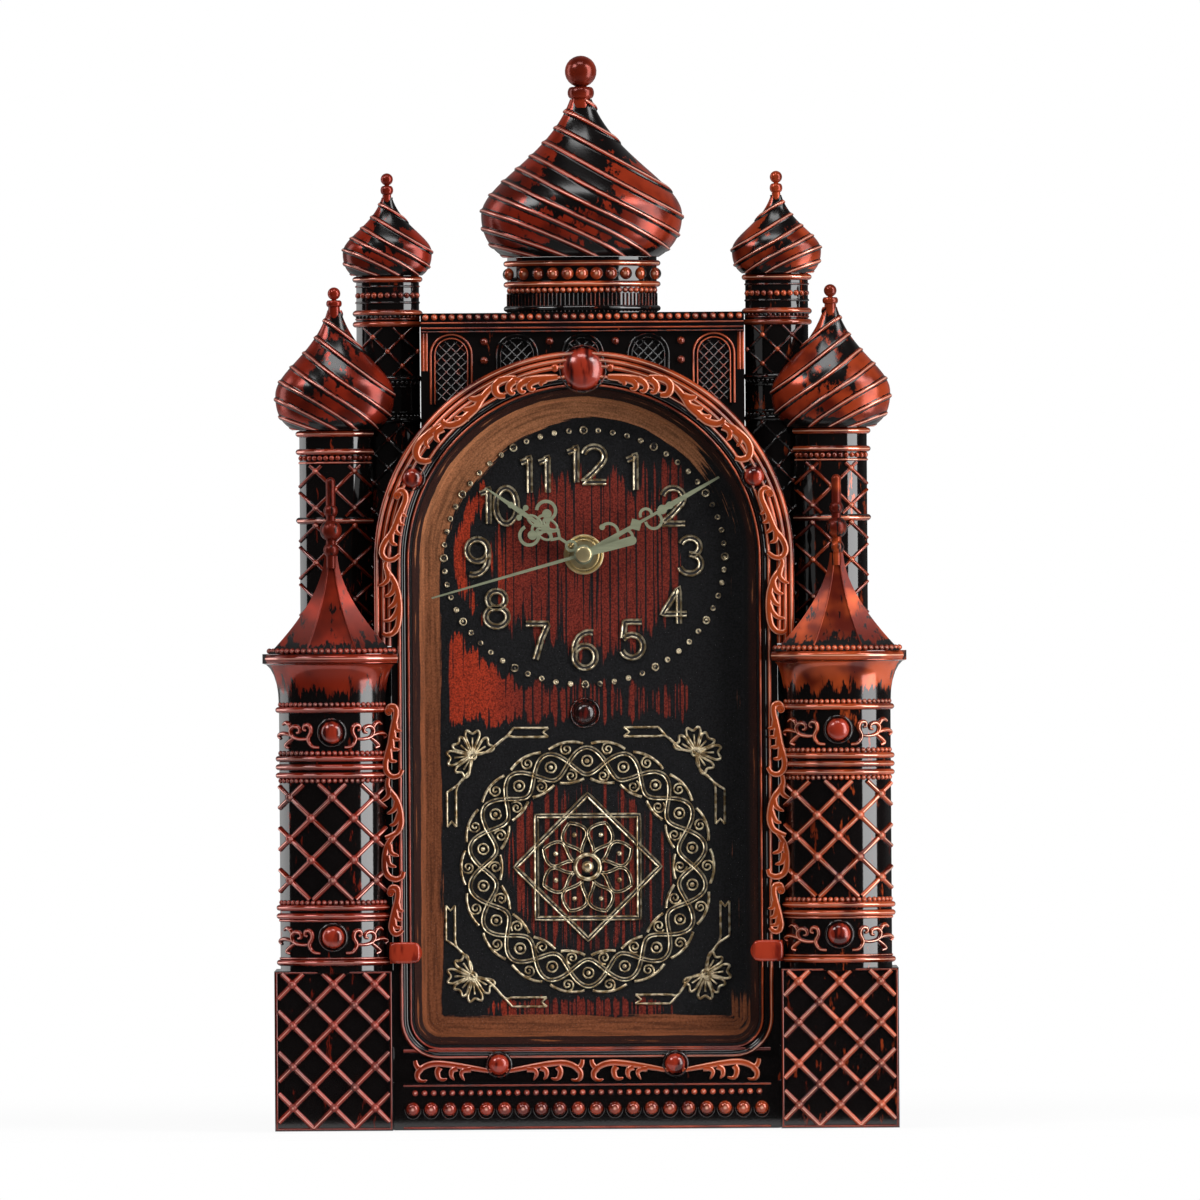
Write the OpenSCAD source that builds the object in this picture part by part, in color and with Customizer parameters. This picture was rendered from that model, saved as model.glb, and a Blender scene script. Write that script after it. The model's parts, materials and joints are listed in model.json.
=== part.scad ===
// Wall clock moulded as a palace front: an arched window with a dial between two
// flanking towers, spiral-ribbed onion domes on top, and a quartz movement behind the dial.
// Origin: the hole of the hanger plate on the wall. +Z is up, the wall lies on +Y.

/* [Central case] */
// Width of the central case between the two towers
case_w = 162; // [158:1:176]
// Wall thickness of the moulded shells
wall = 2.4; // [1.8:0.1:2.8]
// Depth of the case at the window frame
frame_d = 35; // [35:0.5:40]
// Depth of the plinth under the window
plinth_d = 41; // [40:0.5:48]
// Height of the plinth
plinth_h = 20; // [16:0.5:22]
// Depth of the scroll band between plinth and window
band_d = 38; // [37:0.5:40]
// Gap between the upper wall and the rear towers
upper_gap = 0.8; // [0.6:0.1:4]
// Height of the top of the upper wall above the base
upper_top = 342.7; // [340:0.1:350]
// Depth of the upper wall
upper_d = 26; // [22:0.5:30]
// Height of the cornice along the top of the upper wall
cornice_h = 8; // [5:0.5:10]
// How far the cornice stands out
cornice_out = 1.5; // [0.5:0.1:2.5]
// Width of the drum under the main dome
drum_w = 63; // [54:1:70]
// Height of the drum
drum_h = 23.6; // [23:0.1:30]
// Depth of the drum
drum_d = 22; // [18:0.5:26]
// Radius of the beads round the drum
drum_bead_r = 2.6; // [2:0.1:2.7]
// Radius of the beads along the plinth
plinth_bead_r = 2.7; // [2:0.1:3.5]
// Spacing of the beads along the plinth
plinth_bead_pitch = 7.7; // [7.2:0.1:12]

/* [Window] */
// Width of the frame beside the window
frame_side = 7.7; // [7.5:0.1:10]
// Height of the window's lower edge above the base
sill = 34.4; // [31:0.2:40]
// Radius of the window's lower corners
window_corner = 12; // [10:0.5:20]
// Height of the arch's centre above the base
arch_z = 238.4; // [230:0.2:242]
// Width of the moulded band round the arch
arch_band = 14.9; // [13:0.1:16]
// Radius of the three ribs on the arch band
arch_rib_r = 1.1; // [0.7:0.1:1.2]
// Thickness of the window lens
lens_t = 1.5; // [1:0.1:1.6]
// Width of the ledge that the lens rests on
lens_ledge = 2.3; // [1.5:0.1:2.5]
// Radius of the lip round the lens
lip_r = 0.9; // [0.5:0.1:1]
// Radius of the red boss on top of the arch
keystone_r = 9; // [8:0.1:10]
// Length of the clips that hold the lens
clip_w = 13.4; // [12:0.1:14]
// Height of the clips
clip_h = 8.8; // [7:0.1:10]
// Gap between the lattice blocks and the clips above them
clip_gap = 2.9; // [1:0.1:10]

/* [Towers] */
// Width of the lattice block at each tower's foot
block_w = 49.5; // [47:0.5:56]
// Height of the lattice block
block_h = 67; // [60:0.5:70]
// Depth of the lattice block
block_d = 44; // [42:0.5:50]
// Spacing of the block's lattice ribs
lattice_pitch = 12.2; // [9:0.1:16]
// Width of the lattice ribs
lattice_rib = 1.6; // [1:0.1:2.4]
// Width of the turret shaft
turret_w = 44.6; // [40:0.2:46]
// How far the turret's front bulges
turret_bulge = 12; // [10:0.5:16]
// Height of the turret's top rim above the base
turret_top = 200; // [194:0.5:206]
// How far the turret's cup flares past the shaft
cup_out = 5.9; // [4:0.1:6.5]
// Width of the side tower shaft
side_w = 30; // [26:0.5:34]
// Distance of the side tower's axis outside the case
side_out = 23.4; // [21:0.2:27]
// Height of the side tower's top above the base
side_top = 294; // [285:0.5:300]
// Width of the rear tower shaft
rear_w = 26.4; // [22:0.2:27]
// Distance of the rear tower's axis outside the case
rear_out = 1; // [1:0.2:5]
// Height of the rear tower's top above the base
rear_top = 359; // [350:0.5:365]

/* [Domes and spires] */
// Largest radius of the main dome
main_r = 42.4; // [38:0.2:46]
// Height of the main dome from its seat to its neck
main_h = 66.7; // [60:0.1:75]
// Number of spiral ribs on the main dome
main_ribs = 12; // [8:1:14]
// Radius of the ball on the main dome
main_ball_r = 6.7; // [5:0.1:8]
// Largest radius of the side domes
side_dome_r = 25; // [22:0.2:28]
// Height of the side domes
side_dome_h = 52.5; // [46:0.5:58]
// Largest radius of the rear domes
rear_dome_r = 18.8; // [17:0.2:21]
// Height of the rear domes
rear_dome_h = 33; // [28:0.5:38]
// Number of spiral ribs on the small domes
small_ribs = 8; // [6:1:10]
// Radius of the balls on the small domes
small_ball_r = 2.7; // [2:0.1:4]
// Depth of the grooves between the ribs as a share of a dome's radius
groove_share = 0.038; // [0.02:0.002:0.06]
// Depth of a dome as a share of its half width
dome_relief = 0.62; // [0.56:0.02:0.8]
// Half width of the spire at its foot
spire_r = 26; // [22:0.5:27]
// Height of the spire
spire_h = 41; // [34:0.5:46]
// Radius of the finial's rod
finial_rod_r = 2; // [1.5:0.1:2.5]
// Length of the finial above the spire
finial_h = 33; // [30:0.5:38]

/* [Dial] */
// Height of the hands' pivot above the base
pivot_z = 241; // [238:0.2:244]
// How far the dial's face lies behind the front of the frame
dial_recess = 14; // [13.4:0.1:14.2]
// Thickness of the dial pan
pan_t = 2.5; // [2:0.1:2.7]
// How far the pan's side walls lean in
pan_lean = 6; // [4:0.2:7]
// Radius of the round stud below the dial
stud_r = 5; // [4:0.1:6]
// Height of the stud above the base
stud_z = 174.3; // [165:0.1:180]

/* [Hands] */
// Length of the hour hand
hour_len = 49.5; // [42:0.5:52]
// Length of the minute hand
minute_len = 65.5; // [58:0.5:66]
// Length of the second hand
second_len = 66.5; // [58:0.5:67]
// Length of the second hand's tail
second_tail = 23; // [16:0.2:26]
// Thickness of the stamped hands
hand_t = 0.5; // [0.3:0.05:0.6]
// Angle of the hour hand as shown
hour_angle = 304.5; // [0:0.1:360]
// Angle of the minute hand as shown
minute_angle = 60.6; // [0:0.1:360]
// Angle of the second hand as shown
second_angle = 254.3; // [0:0.1:360]
// Radius of the cap over the hands
cap_r = 3.65; // [3:0.05:5]

/* [Movement] */
// Room for a sprung contact at each end of the dry cell
contact_room = 2.05; // [1.6:0.05:3]
// Thickness of the movement's box from front to back
movement_t = 16; // [15.8:0.1:16.6]
// Height of the movement's box above the pivot
movement_up = 28; // [28:0.5:32]
// Wall of the movement's box
box_wall = 1.2; // [1:0.1:1.4]
// Thickness of each wheel
wheel_t = 1; // [0.8:0.05:1]
// Radius of the threaded bush
bush_r = 4; // [3.8:0.1:4.4]
// Radius of the dry cell
cell_r = 7.25; // [7:0.05:7.25]
// Length of the dry cell
cell_len = 50.5; // [49:0.1:50.5]
// Radius of the brass washer behind the hands
washer_r = 8.5; // [7.5:0.1:10]

/* [Fixing] */
// Height of the hanger hole above the base
hang_z = 331; // [329:0.1:333]
// Radius of the hanger hole
hanger_hole_r = 3; // [2:0.1:3.5]
// Thickness of the hanger plate
hanger_t = 1.5; // [1.2:0.1:2]
// Radius of the screws' shanks
screw_r = 1; // [0.8:0.05:1.2]

/* [Hidden] */
$fn = 48;

// Finishes as the photograph shows them
lacquer = [0.2, 0.08, 0.06];
copper = [0.62, 0.25, 0.16];
ruby = [0.6, 0.18, 0.12];
charcoal = [0.2, 0.13, 0.1];
clear = [0.8, 0.85, 0.9, 0.25];
olive_brass = [0.56, 0.57, 0.44];
brass = [0.8, 0.68, 0.4];
steel = [0.7, 0.7, 0.72];
black_plastic = [0.12, 0.12, 0.13];
white_plastic = [0.88, 0.88, 0.85];
board_green = [0.1, 0.35, 0.2];

// Clearances: seam between mouldings, slip of a fixed fit, running fit, cuts past a face
seam = 0.3;
slip = 0.03;
run = 0.05;
past = 1;
far = 300;

// Central case
case_hw = case_w / 2;
window_hw = case_hw - frame_side;
side_x = case_hw + side_out;
rear_x = case_hw + rear_out;
upper_w = 2 * (rear_x - rear_w / 2 - upper_gap);
arch_r = window_hw + arch_band;
arch_foot = turret_top + 3;
lens_back = frame_d - lens_t;
lip_x = lens_ledge + lip_r + 0.2;
rib_radii = [for (i = [0:2]) arch_r - arch_rib_r * (1.3 + 2.3 * i)];
keystone_y = arch_z + window_hw + arch_band * 0.48;
keystone_rise = 4.5;
drum_top = upper_top + drum_h;
drum_plane = 6;
drum_rings = [for (z = [2, 12.2, 21]) upper_top + z];
drum_bead_z = upper_top + 16.6;
drum_bead_count = 11;
drum_bead_sink = 0.5;
plinth_bead_z = 8.8;
plinth_bead_count = floor((case_w - 2 * plinth_bead_r) / plinth_bead_pitch);
niche_w = 15;
niche_pitch = 27.6;
niche_rise = 22;
niche_cut = 1.2;
niche_spring = upper_top - cornice_h - niche_w / 2 - 2;
base_gem_x = 37;
base_gem_y = (plinth_h + sill) / 2;
gem_r = 4.2;
gem_rise = 3.2;
arch_gem_angle = 26;
pin_r = 0.9;
pin_len = 5;
clip_end_x = case_hw + seam + 1;
clip_t = 2.4;
clip_z = block_h + clip_gap + clip_h / 2;
clip_pin_x = case_hw - wall / 2;

// Towers
turret_x = case_hw + seam + block_w / 2;
turret_plane = frame_d - 1;
turret_rc = bulge_radius(turret_w, turret_bulge);
cup_h = 17;
rim_h = 4;
cup_z = turret_top - rim_h - cup_h;
ring_r = 1.3;
turret_rings = [for (z = [3.5, 23, 26.5, 82, 85.5, 89, 109.5]) block_h + z];
turret_gems = [block_h + 14.2, block_h + 100];
turret_gem_r = 4.6;
lattice_h = 1;
lattice_drop = 6.5;
side_bulge = 8;
side_rings = [for (z = [38, 9.2, 1.6]) side_top - z];
rear_plane = 10;
rear_bulge = 7;
side_plane = rear_plane + rear_bulge + ring_r + 2 * seam;
rear_rings = [for (z = [61, 43.5, 20.5, 16, 1.6]) rear_top - z];
web_d = frame_d - 4;
screw_head_r = 2 * screw_r;
screw_head_h = 1.2;
tower_screw_heights = [0.6 * block_h, 0.75 * turret_top];
tower_screw_d = 20;

// Domes and spires
dome_rows = 12;
facets_per_rib = 4;
main_seat_r = drum_w / 2 + 0.8;
main_neck_r = 4.6;
neck_r = 2.4;
main_peg_r = 6;
main_peg_d = drum_plane + main_peg_r + 2 * seam;
peg_r = 2;
peg_len = 6;
peg_forward = peg_r + seam;
core_wall = 3.2;
spire_plane = frame_d + arch_rib_r + seam;
spire_rows = 8;
spire_relief = 0.5;
spire_tip_r = 2.6;

// Dial pan
dial_d = frame_d - dial_recess;
pan_top = frame_d - wall;
pan_rim_t = 1.6;
pan_rim_x = case_hw - wall - seam - window_hw;
pan_wall_x = 2.8;
post_r = 2.5;
post_x = case_hw - wall - post_r + 0.4;
post_foot = dial_d + 4;
post_heights = [60, 205];
ear_t = 1.6;
ear_w = 8;
pilot_depth = 5;
stud_shank_r = 2;

// Movement layers, measured from the wall
movement_w = cell_len + 2 * (contact_room + box_wall);
seal_t = 0.5;
seal_r = 10;
movement_front = dial_d - pan_t - seal_t;
movement_back = movement_front - movement_t;
cover_t = 1.5;
cover_front = movement_back + cover_t;
wall_in = movement_front - 1.4;
layer_1 = wall_in - 0.2 - wheel_t;
layer_2 = layer_1 - 0.3 - wheel_t;
layer_3 = layer_2 - 0.3 - wheel_t;
layer_4 = layer_3 - 0.6 - wheel_t;
layer_5 = layer_4 - 0.6 - wheel_t;
layer_6 = layer_5 - 0.6 - wheel_t;
arbor_r = 0.5;
minute_pipe_r = 1.5;
hour_pipe_r = 2.5;
bush_top = dial_d + 4;
hour_d = bush_top + 0.6;
minute_d = hour_d + hand_t + 1;
second_d = minute_d + hand_t + 1;
washer_t = 0.6;
nut_r = 6;
nut_t = 2.4;

// Wheel train: teeth and modules, with centre distances worked out from them
rotor_n = 8;
inter_n = 48;
inter_pinion_n = 8;
second_n = 40;
second_pinion_n = 8;
third_n = 60;
third_pinion_n = 8;
minute_n = 64;
cannon_n = 12;
motion_n = 36;
motion_pinion_n = 10;
hour_n = 40;
knob_n = 18;
rotor_m = 0.25;
inter_m = 0.3;
second_m = 0.36;
third_m = 0.34;
cannon_m = 5 / 12;
hour_m = 0.4;
addendum = 0.8;
dedendum = 1.15;
tooth_root = 0.32;
tooth_tip = 0.12;
third_angle = 130;
inter_angle = 60;
rotor_angle = 20;
motion_angle = 180;
knob_angle = 200;
third_at = polar(centre_distance(second_pinion_n, third_n, second_m), third_angle);
inter_at = polar(centre_distance(inter_pinion_n, second_n, inter_m), inter_angle);
rotor_at = inter_at + polar(centre_distance(rotor_n, inter_n, rotor_m), rotor_angle);
motion_at = polar(centre_distance(cannon_n, motion_n, cannon_m), motion_angle);
knob_at = motion_at + polar(centre_distance(motion_n, knob_n, cannon_m), knob_angle);
motion_stud_r = 0.9;
knob_shaft_r = 1.5;
knob_r = 4.5;
knob_reach = 1.6;
knob_back = movement_back - knob_reach;

// Tooth phases: each wheel shows a gap where its neighbour shows a tooth
second_phase = -second_angle;
minute_phase = -minute_angle;
inter_phase = mesh_phase(inter_angle, second_phase, second_n, inter_pinion_n);
rotor_phase = mesh_phase(rotor_angle, inter_phase, inter_n, rotor_n);
third_phase = mesh_phase(third_angle, second_phase, second_pinion_n, third_n);
third_pinion_phase = mesh_phase(third_angle, minute_phase, minute_n, third_pinion_n);
motion_phase = mesh_phase(motion_angle, minute_phase, cannon_n, motion_n);
hour_phase = mesh_phase(motion_angle + 180, motion_phase, motion_pinion_n, hour_n);
knob_phase = mesh_phase(knob_angle, motion_phase, motion_n, knob_n);

// Dry cell bay and the parts of the motor
divider_t = 0.8;
divider_top = -11.7;
cell_y = divider_top - divider_t - 0.25 - cell_r;
cell_d = wall_in - slip - cell_r;
cell_nub_r = 2.75;
cell_nub = 1.5;
box_bottom = cell_y - cell_r - 0.25 - box_wall;
contact_t = 0.4;
contact_w = 9;
stator_lift = 3.1;
stator_d = cover_front + stator_lift;
stator_t = 0.6;
stator_span = [-4, 23];
stator_foot = 5;
stator_yoke = 7;
stator_leg = 3;
stator_post_y = 8;
core_h = 2;
coil_r = 2.8;
flange_r = 3.2;
coil_y = movement_up - box_wall - flange_r - 2 * run;
flange_t = 1;
magnet_r = 2.4;
magnet_t = 2;
magnet_gap = 0.5;
board_gap = 1.3;
board_x = [-movement_w / 2 + box_wall + board_gap, third_at[0] - arbor_r - board_gap];
board_y = [0, movement_up - box_wall - board_gap];
board_t = 1;
board_d = cover_front + 0.7;

// Half width and bulge of a shallow column give the radius of its round front
function bulge_radius(w, bulge) = (w * w / 4 + bulge * bulge) / (2 * bulge);
function polar(r, a) = [r * cos(a), r * sin(a)];
function centre_distance(n1, n2, m) = (n1 + n2) * m / 2;
function fraction(x) = x - floor(x);

// Phase of a wheel of n2 teeth that lies in direction a from a wheel of n1 teeth at phase p1
function mesh_phase(a, p1, n1, n2) = a + 180 - (0.5 - fraction((a - p1) * n1 / 360)) * 360 / n2;

function bezier(a, b, c, d, t) =
    a * pow(1 - t, 3) + 3 * b * t * pow(1 - t, 2) + 3 * c * t * t * (1 - t) + d * pow(t, 3);

// Onion profile: swells from the seat to the equator, then draws in to a slim neck
function onion(seat_r, r, h, top_r) = [
    for (i = [0:dome_rows]) let (s = i / dome_rows)
        s < 0.4
            ? bezier([seat_r, 0], [0.93 * r, 0.06 * h], [r, 0.16 * h], [r, 0.265 * h], s / 0.4)
            : bezier([r, 0.265 * h], [r, 0.47 * h], [0.31 * r, 0.63 * h], [top_r, h], (s - 0.4) / 0.6)
];

// Angle that the ribs have turned through at each row: faster where the dome is slim
function rib_turns(prof, r) = [
    for (
        i = 0, a = 0;
        i < len(prof);
        a = a + (i + 1 < len(prof) ? rib_step(prof[i], prof[i + 1], r) : 0), i = i + 1
    ) a
];
function rib_step(p, q, r) = 180 / PI * (q[1] - p[1]) / (0.24 * r + 0.325 * (p[0] + q[0]));

// Facade frame: x to the right, y up, z out of the wall towards the viewer
module facade() {
    translate([0, 0, -hang_z]) rotate([90, 0, 0]) children();
}

// Standing frame: z up from the base, the wall at y = 0
module standing() {
    translate([0, 0, -hang_z]) children();
}

// Facade frame with its origin at the hands' pivot
module at_pivot(at, d) {
    facade() translate([at[0], pivot_z + at[1], d]) children();
}

module both_sides() {
    children();
    mirror([1, 0, 0]) children();
}

// Outline of the window, grown outwards by grow
module window_outline(grow) {
    hw = window_hw + grow;
    corner = window_corner + grow;
    translate([0, arch_z]) circle(r = hw);
    translate([-hw, sill + window_corner]) square([2 * hw, arch_z - sill - window_corner]);
    translate([-(hw - corner), sill - grow]) square([2 * (hw - corner), window_corner + 2 * grow]);
    for (x = [corner - hw, hw - corner]) translate([x, sill - grow + corner]) circle(r = corner);
}

// Carries a section round the window: x is outwards from the window's edge, y is depth
module around_window() {
    leg = arch_z - sill - window_corner;
    run_in = window_hw - window_corner;
    translate([0, arch_z, 0]) rotate_extrude(angle = 180) translate([window_hw, 0]) children();
    both_sides() translate([window_hw, arch_z, 0]) rotate([90, 0, 0]) linear_extrude(leg) children();
    both_sides() translate([run_in, sill + window_corner, 0]) rotate([0, 0, -90])
        rotate_extrude(angle = 90) translate([window_corner, 0]) children();
    translate([run_in, sill, 0]) rotate([90, 0, -90]) linear_extrude(2 * run_in) children();
}

// Shallow round-fronted column from z0 to z1, with half-round rings at the given heights
module column(x, w, bulge, plane, z0, z1, rings) {
    rc = bulge_radius(w, bulge);
    axis_d = plane + bulge - rc;
    standing() {
        translate([x, -axis_d, 0]) intersection() {
            rotate_extrude() {
                translate([0, z0]) square([rc, z1 - z0]);
                for (z = rings) translate([rc, z]) circle(r = ring_r);
                children();
            }
            translate([-w, -far - plane + axis_d, z0 - ring_r]) cube([2 * w, far, far]);
        }
        translate([x - w / 2, -plane, z0]) cube([w, plane, z1 - z0]);
    }
}

// Hollow of such a column, open to the wall
module column_hollow(x, w, bulge, plane, z0, z1) {
    rc = bulge_radius(w, bulge);
    axis_d = plane + bulge - rc;
    inner_w = w - 2 * wall;
    standing() {
        translate([x, -axis_d, z0]) intersection() {
            cylinder(r = rc - wall, h = z1 - z0);
            translate([-inner_w / 2, -far - plane + axis_d, -past]) cube([inner_w, far + past, far]);
        }
        translate([x - inner_w / 2, -plane, z0]) cube([inner_w, plane + past, z1 - z0]);
    }
}

// Dome-shaped cap of base radius r and height h
module cap(r, h) {
    sphere_r = (r * r + h * h) / (2 * h);
    rotate_extrude() intersection() {
        translate([0, h - sphere_r]) circle(r = sphere_r);
        square([r, h]);
    }
}

// Stacked blocks of the central case, set in by inset and starting at depth from
module case_blocks(inset, from) {
    module block(w, z0, z1, d) {
        translate([-w / 2 + inset, z0 + inset, from])
            cube([w - 2 * inset, z1 - z0 - 2 * inset, d - inset - from]);
    }
    block(case_w, 0, arch_z + 2 * inset, frame_d);
    block(case_w, 0, plinth_h, plinth_d);
    block(case_w, 0, sill - 2 * lens_ledge, band_d);
    block(upper_w, arch_z, upper_top, upper_d);
    block(2 * arch_r, arch_foot, arch_z + 2 * inset, frame_d);
    translate([0, arch_z, from]) cylinder(r = arch_r - inset, h = frame_d - inset - from);
}

// Three half-round ribs that follow the arch and run down its legs
module arch_ribs() {
    for (r = rib_radii) translate([0, arch_z, frame_d]) {
        rotate_extrude(angle = 180) translate([r, 0]) circle(r = arch_rib_r);
        both_sides() translate([r, 0, 0]) rotate([90, 0, 0]) cylinder(r = arch_rib_r, h = arch_z - arch_foot);
    }
}

// Round-headed niche of the upper wall
module niche_outline() {
    circle(r = niche_w / 2);
    translate([-niche_w / 2, -niche_rise]) square([niche_w, niche_rise]);
}

module front_case() {
    gem_at = polar(window_hw + arch_band * 0.44, arch_gem_angle);
    boss_x = 5 * hanger_hole_r;
    color(lacquer) difference() {
        union() {
            facade() difference() {
                union() {
                    case_blocks(0, 0);
                    translate([-upper_w / 2, upper_top - cornice_h, 0])
                        cube([upper_w, cornice_h, upper_d + cornice_out]);
                    arch_ribs();
                    around_window() translate([lip_x, frame_d]) circle(r = lip_r);
                }
                case_blocks(wall, -past);
                linear_extrude(far) window_outline(0);
                translate([0, 0, lens_back]) linear_extrude(far) window_outline(lens_ledge);
                for (i = [-2:2]) translate([i * niche_pitch, niche_spring, upper_d - niche_cut])
                    linear_extrude(niche_cut + cornice_out / 2) niche_outline();
                translate([0, keystone_y, frame_d]) cylinder(r = keystone_r + seam, h = far);
            }
            facade() {
                for (i = [0:plinth_bead_count - 1])
                    translate([(i - (plinth_bead_count - 1) / 2) * plinth_bead_pitch, plinth_bead_z, plinth_d])
                        sphere(r = plinth_bead_r);
                both_sides() for (z = post_heights) translate([post_x, z, post_foot])
                    cylinder(r = post_r, h = frame_d - wall + seam - post_foot);
                both_sides() translate([boss_x, hang_z, hanger_t])
                    cylinder(r = post_r, h = upper_d - wall / 2 - hanger_t);
                both_sides() translate([base_gem_x, base_gem_y, band_d - seam]) cap(gem_r, gem_rise);
                both_sides() translate([gem_at[0], arch_z + gem_at[1], frame_d - seam]) cap(gem_r, gem_rise);
            }
        }
        standing() translate([0, -main_peg_d, upper_top - 2 * wall]) cylinder(r = main_peg_r + slip, h = far);
        facade() {
            both_sides() for (z = post_heights) translate([post_x, z, post_foot - past])
                cylinder(r = screw_r + slip, h = pilot_depth + past);
            both_sides() translate([boss_x, hang_z, 0]) cylinder(r = screw_r + slip, h = 2 * pilot_depth);
            both_sides() translate([clip_pin_x, clip_z, frame_d - pin_len - past])
                cylinder(r = pin_r + slip, h = far);
            translate([0, keystone_y, frame_d - pin_len - past]) cylinder(r = pin_r + slip, h = far);
        }
        standing() both_sides() for (z = tower_screw_heights)
            translate([case_hw - wall - past, -tower_screw_d, z]) rotate([0, 90, 0])
                cylinder(r = screw_r + slip, h = wall + 2 * past);
    }
}

// Crossed ribs of the block's lattice, within its face
module lattice() {
    reach = block_w + block_h;
    count = ceil(reach / 2 / lattice_pitch);
    intersection() {
        square([block_w, block_h], center = true);
        translate([0, -lattice_drop])
            for (a = [-45, 45]) rotate(a) for (i = [-count:count]) translate([i * lattice_pitch, 0])
                square([lattice_rib, reach], center = true);
    }
}

// Profile of the turret's cup: leaves the shaft upright and flares out under the rim
module cup_profile() {
    steps = 6;
    flare = [
        for (i = [0:steps]) let (a = 90 * i / steps)
            [turret_rc + cup_out * (1 - cos(a)), cup_z + cup_h * sin(a)]
    ];
    polygon(concat(
        [[0, cup_z]],
        flare,
        [[turret_rc + cup_out, turret_top], [0, turret_top]]
    ));
}

// Tower of the right side: lattice block, turret, side shaft and rear shaft as one shell
module tower() {
    block_x = case_hw + seam;
    web_w = turret_x - turret_w / 2 - block_x + wall;
    side_foot = turret_top - 2 * cup_h;
    difference() {
        union() {
            facade() {
                translate([block_x, 0, 0]) cube([block_w, block_h, block_d]);
                translate([turret_x, block_h / 2, block_d - lattice_h / 2]) linear_extrude(1.5 * lattice_h) {
                    lattice();
                    difference() {
                        square([block_w, block_h], center = true);
                        square([block_w - 2 * lattice_rib, block_h - lattice_rib], center = true);
                    }
                }
                translate([block_x, block_h - past, 0]) cube([web_w, turret_top - cup_h - block_h, web_d]);
                for (z = turret_gems) translate([turret_x, z, turret_plane + turret_bulge - 2 * seam])
                    cap(turret_gem_r, gem_rise);
            }
            column(turret_x, turret_w, turret_bulge, turret_plane, block_h - past, turret_top, turret_rings)
                cup_profile();
            column(side_x, side_w, side_bulge, side_plane, side_foot, side_top, side_rings);
            column(rear_x, rear_w, rear_bulge, rear_plane, side_foot, rear_top, rear_rings);
        }
        facade() {
            translate([block_x + wall, wall, -past])
                cube([block_w - 2 * wall, block_h - 2 * wall, block_d - wall + past]);
            translate([0, 0, -past]) linear_extrude(frame_d + seam + past) case_shadow();
        }
        column_hollow(turret_x, turret_w, turret_bulge, turret_plane, block_h - 2 * wall, turret_top - wall);
        column_hollow(side_x, side_w, side_bulge, side_plane, side_foot + wall, side_top - wall);
        column_hollow(rear_x, rear_w, rear_bulge, rear_plane, side_foot + wall, rear_top - wall);
        standing() {
            peg_hole(side_x, side_plane, side_top);
            peg_hole(rear_x, rear_plane, rear_top);
            peg_hole(turret_x, spire_plane, turret_top);
            for (z = tower_screw_heights) translate([block_x - past, -tower_screw_d, z]) rotate([0, 90, 0])
                cylinder(r = screw_r + slip, h = wall + 2 * past);
        }
    }
}

// Space that the central case takes up, with the seam round it
module case_shadow() {
    translate([0, arch_z]) circle(r = arch_r + seam);
    translate([-arch_r - seam, arch_foot - seam]) square([2 * (arch_r + seam), arch_z - arch_foot + seam]);
    translate([-case_hw - seam, 0]) square([2 * (case_hw + seam), arch_z]);
    translate([-upper_w / 2 - seam, arch_z]) square([upper_w + 2 * seam, upper_top - arch_z + seam]);
}

module peg_hole(x, plane, z) {
    translate([x, -plane - peg_forward, z - 2 * wall]) cylinder(r = peg_r + slip, h = far);
}

module right_tower() {
    color(lacquer) tower();
}

module left_tower() {
    color(lacquer) mirror([1, 0, 0]) tower();
}

// Onion dome with spiral ribs, flattened towards the wall
module ribbed_onion(seat_r, r, h, top_r, ribs) {
    prof = onion(seat_r, r, h, top_r);
    turns = rib_turns(prof, r);
    cols = ribs * facets_per_rib;
    points = [
        for (i = [0:dome_rows]) for (j = [0:cols - 1]) let (
            groove = groove_share * prof[i][0] * (1 - abs(cos(180 * j / facets_per_rib))),
            a = 360 * j / cols + turns[i]
        )
            [(prof[i][0] - groove) * cos(a), dome_relief * (prof[i][0] - groove) * sin(a), prof[i][1]]
    ];
    foot = len(points);
    top_row = dome_rows * cols;
    faces = concat(
        [
            for (i = [0:dome_rows - 1]) for (j = [0:cols - 1]) let (
                a = i * cols + j,
                b = i * cols + (j + 1) % cols
            )
                each [[a, b + cols, b], [a, a + cols, b + cols]]
        ],
        [for (j = [0:cols - 1]) [foot, j, (j + 1) % cols]],
        [for (j = [0:cols - 1]) [foot + 1, top_row + (j + 1) % cols, top_row + j]]
    );
    polyhedron(concat(points, [[0, 0, 0], [0, 0, h]]), faces);
}

// Dome as moulded: flat and cored out at the back, with a ball on its neck
module dome(seat_r, r, h, top_r, ribs, ball_r) {
    depth_share = dome_relief * (1 - groove_share);
    core = [
        for (p = onion(seat_r, r, h, top_r)) let (core_r = depth_share * p[0] - core_wall)
            if (p[1] > core_wall && core_r > core_wall / 2) [core_r, p[1]]
    ];
    core_z = [core[0][1], core[len(core) - 1][1]];
    ball_z = h + ball_r + top_r;
    difference() {
        intersection() {
            ribbed_onion(seat_r, r, h, top_r, ribs);
            translate([-r - past, -r - past, -past]) cube([2 * (r + past), r + past, h + 2 * past]);
        }
        rotate_extrude() polygon(concat([[0, core_z[0]]], core, [[0, core_z[1]]]));
    }
    translate([0, -top_r / 2, h - top_r]) cylinder(r = 0.8 * top_r, h = ball_z - h + top_r);
    translate([0, -top_r / 2, h]) rotate_extrude() translate([0.8 * top_r, 0]) circle(r = 0.35 * top_r);
    translate([0, -top_r / 2, ball_z]) sphere(r = ball_r);
}

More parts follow.
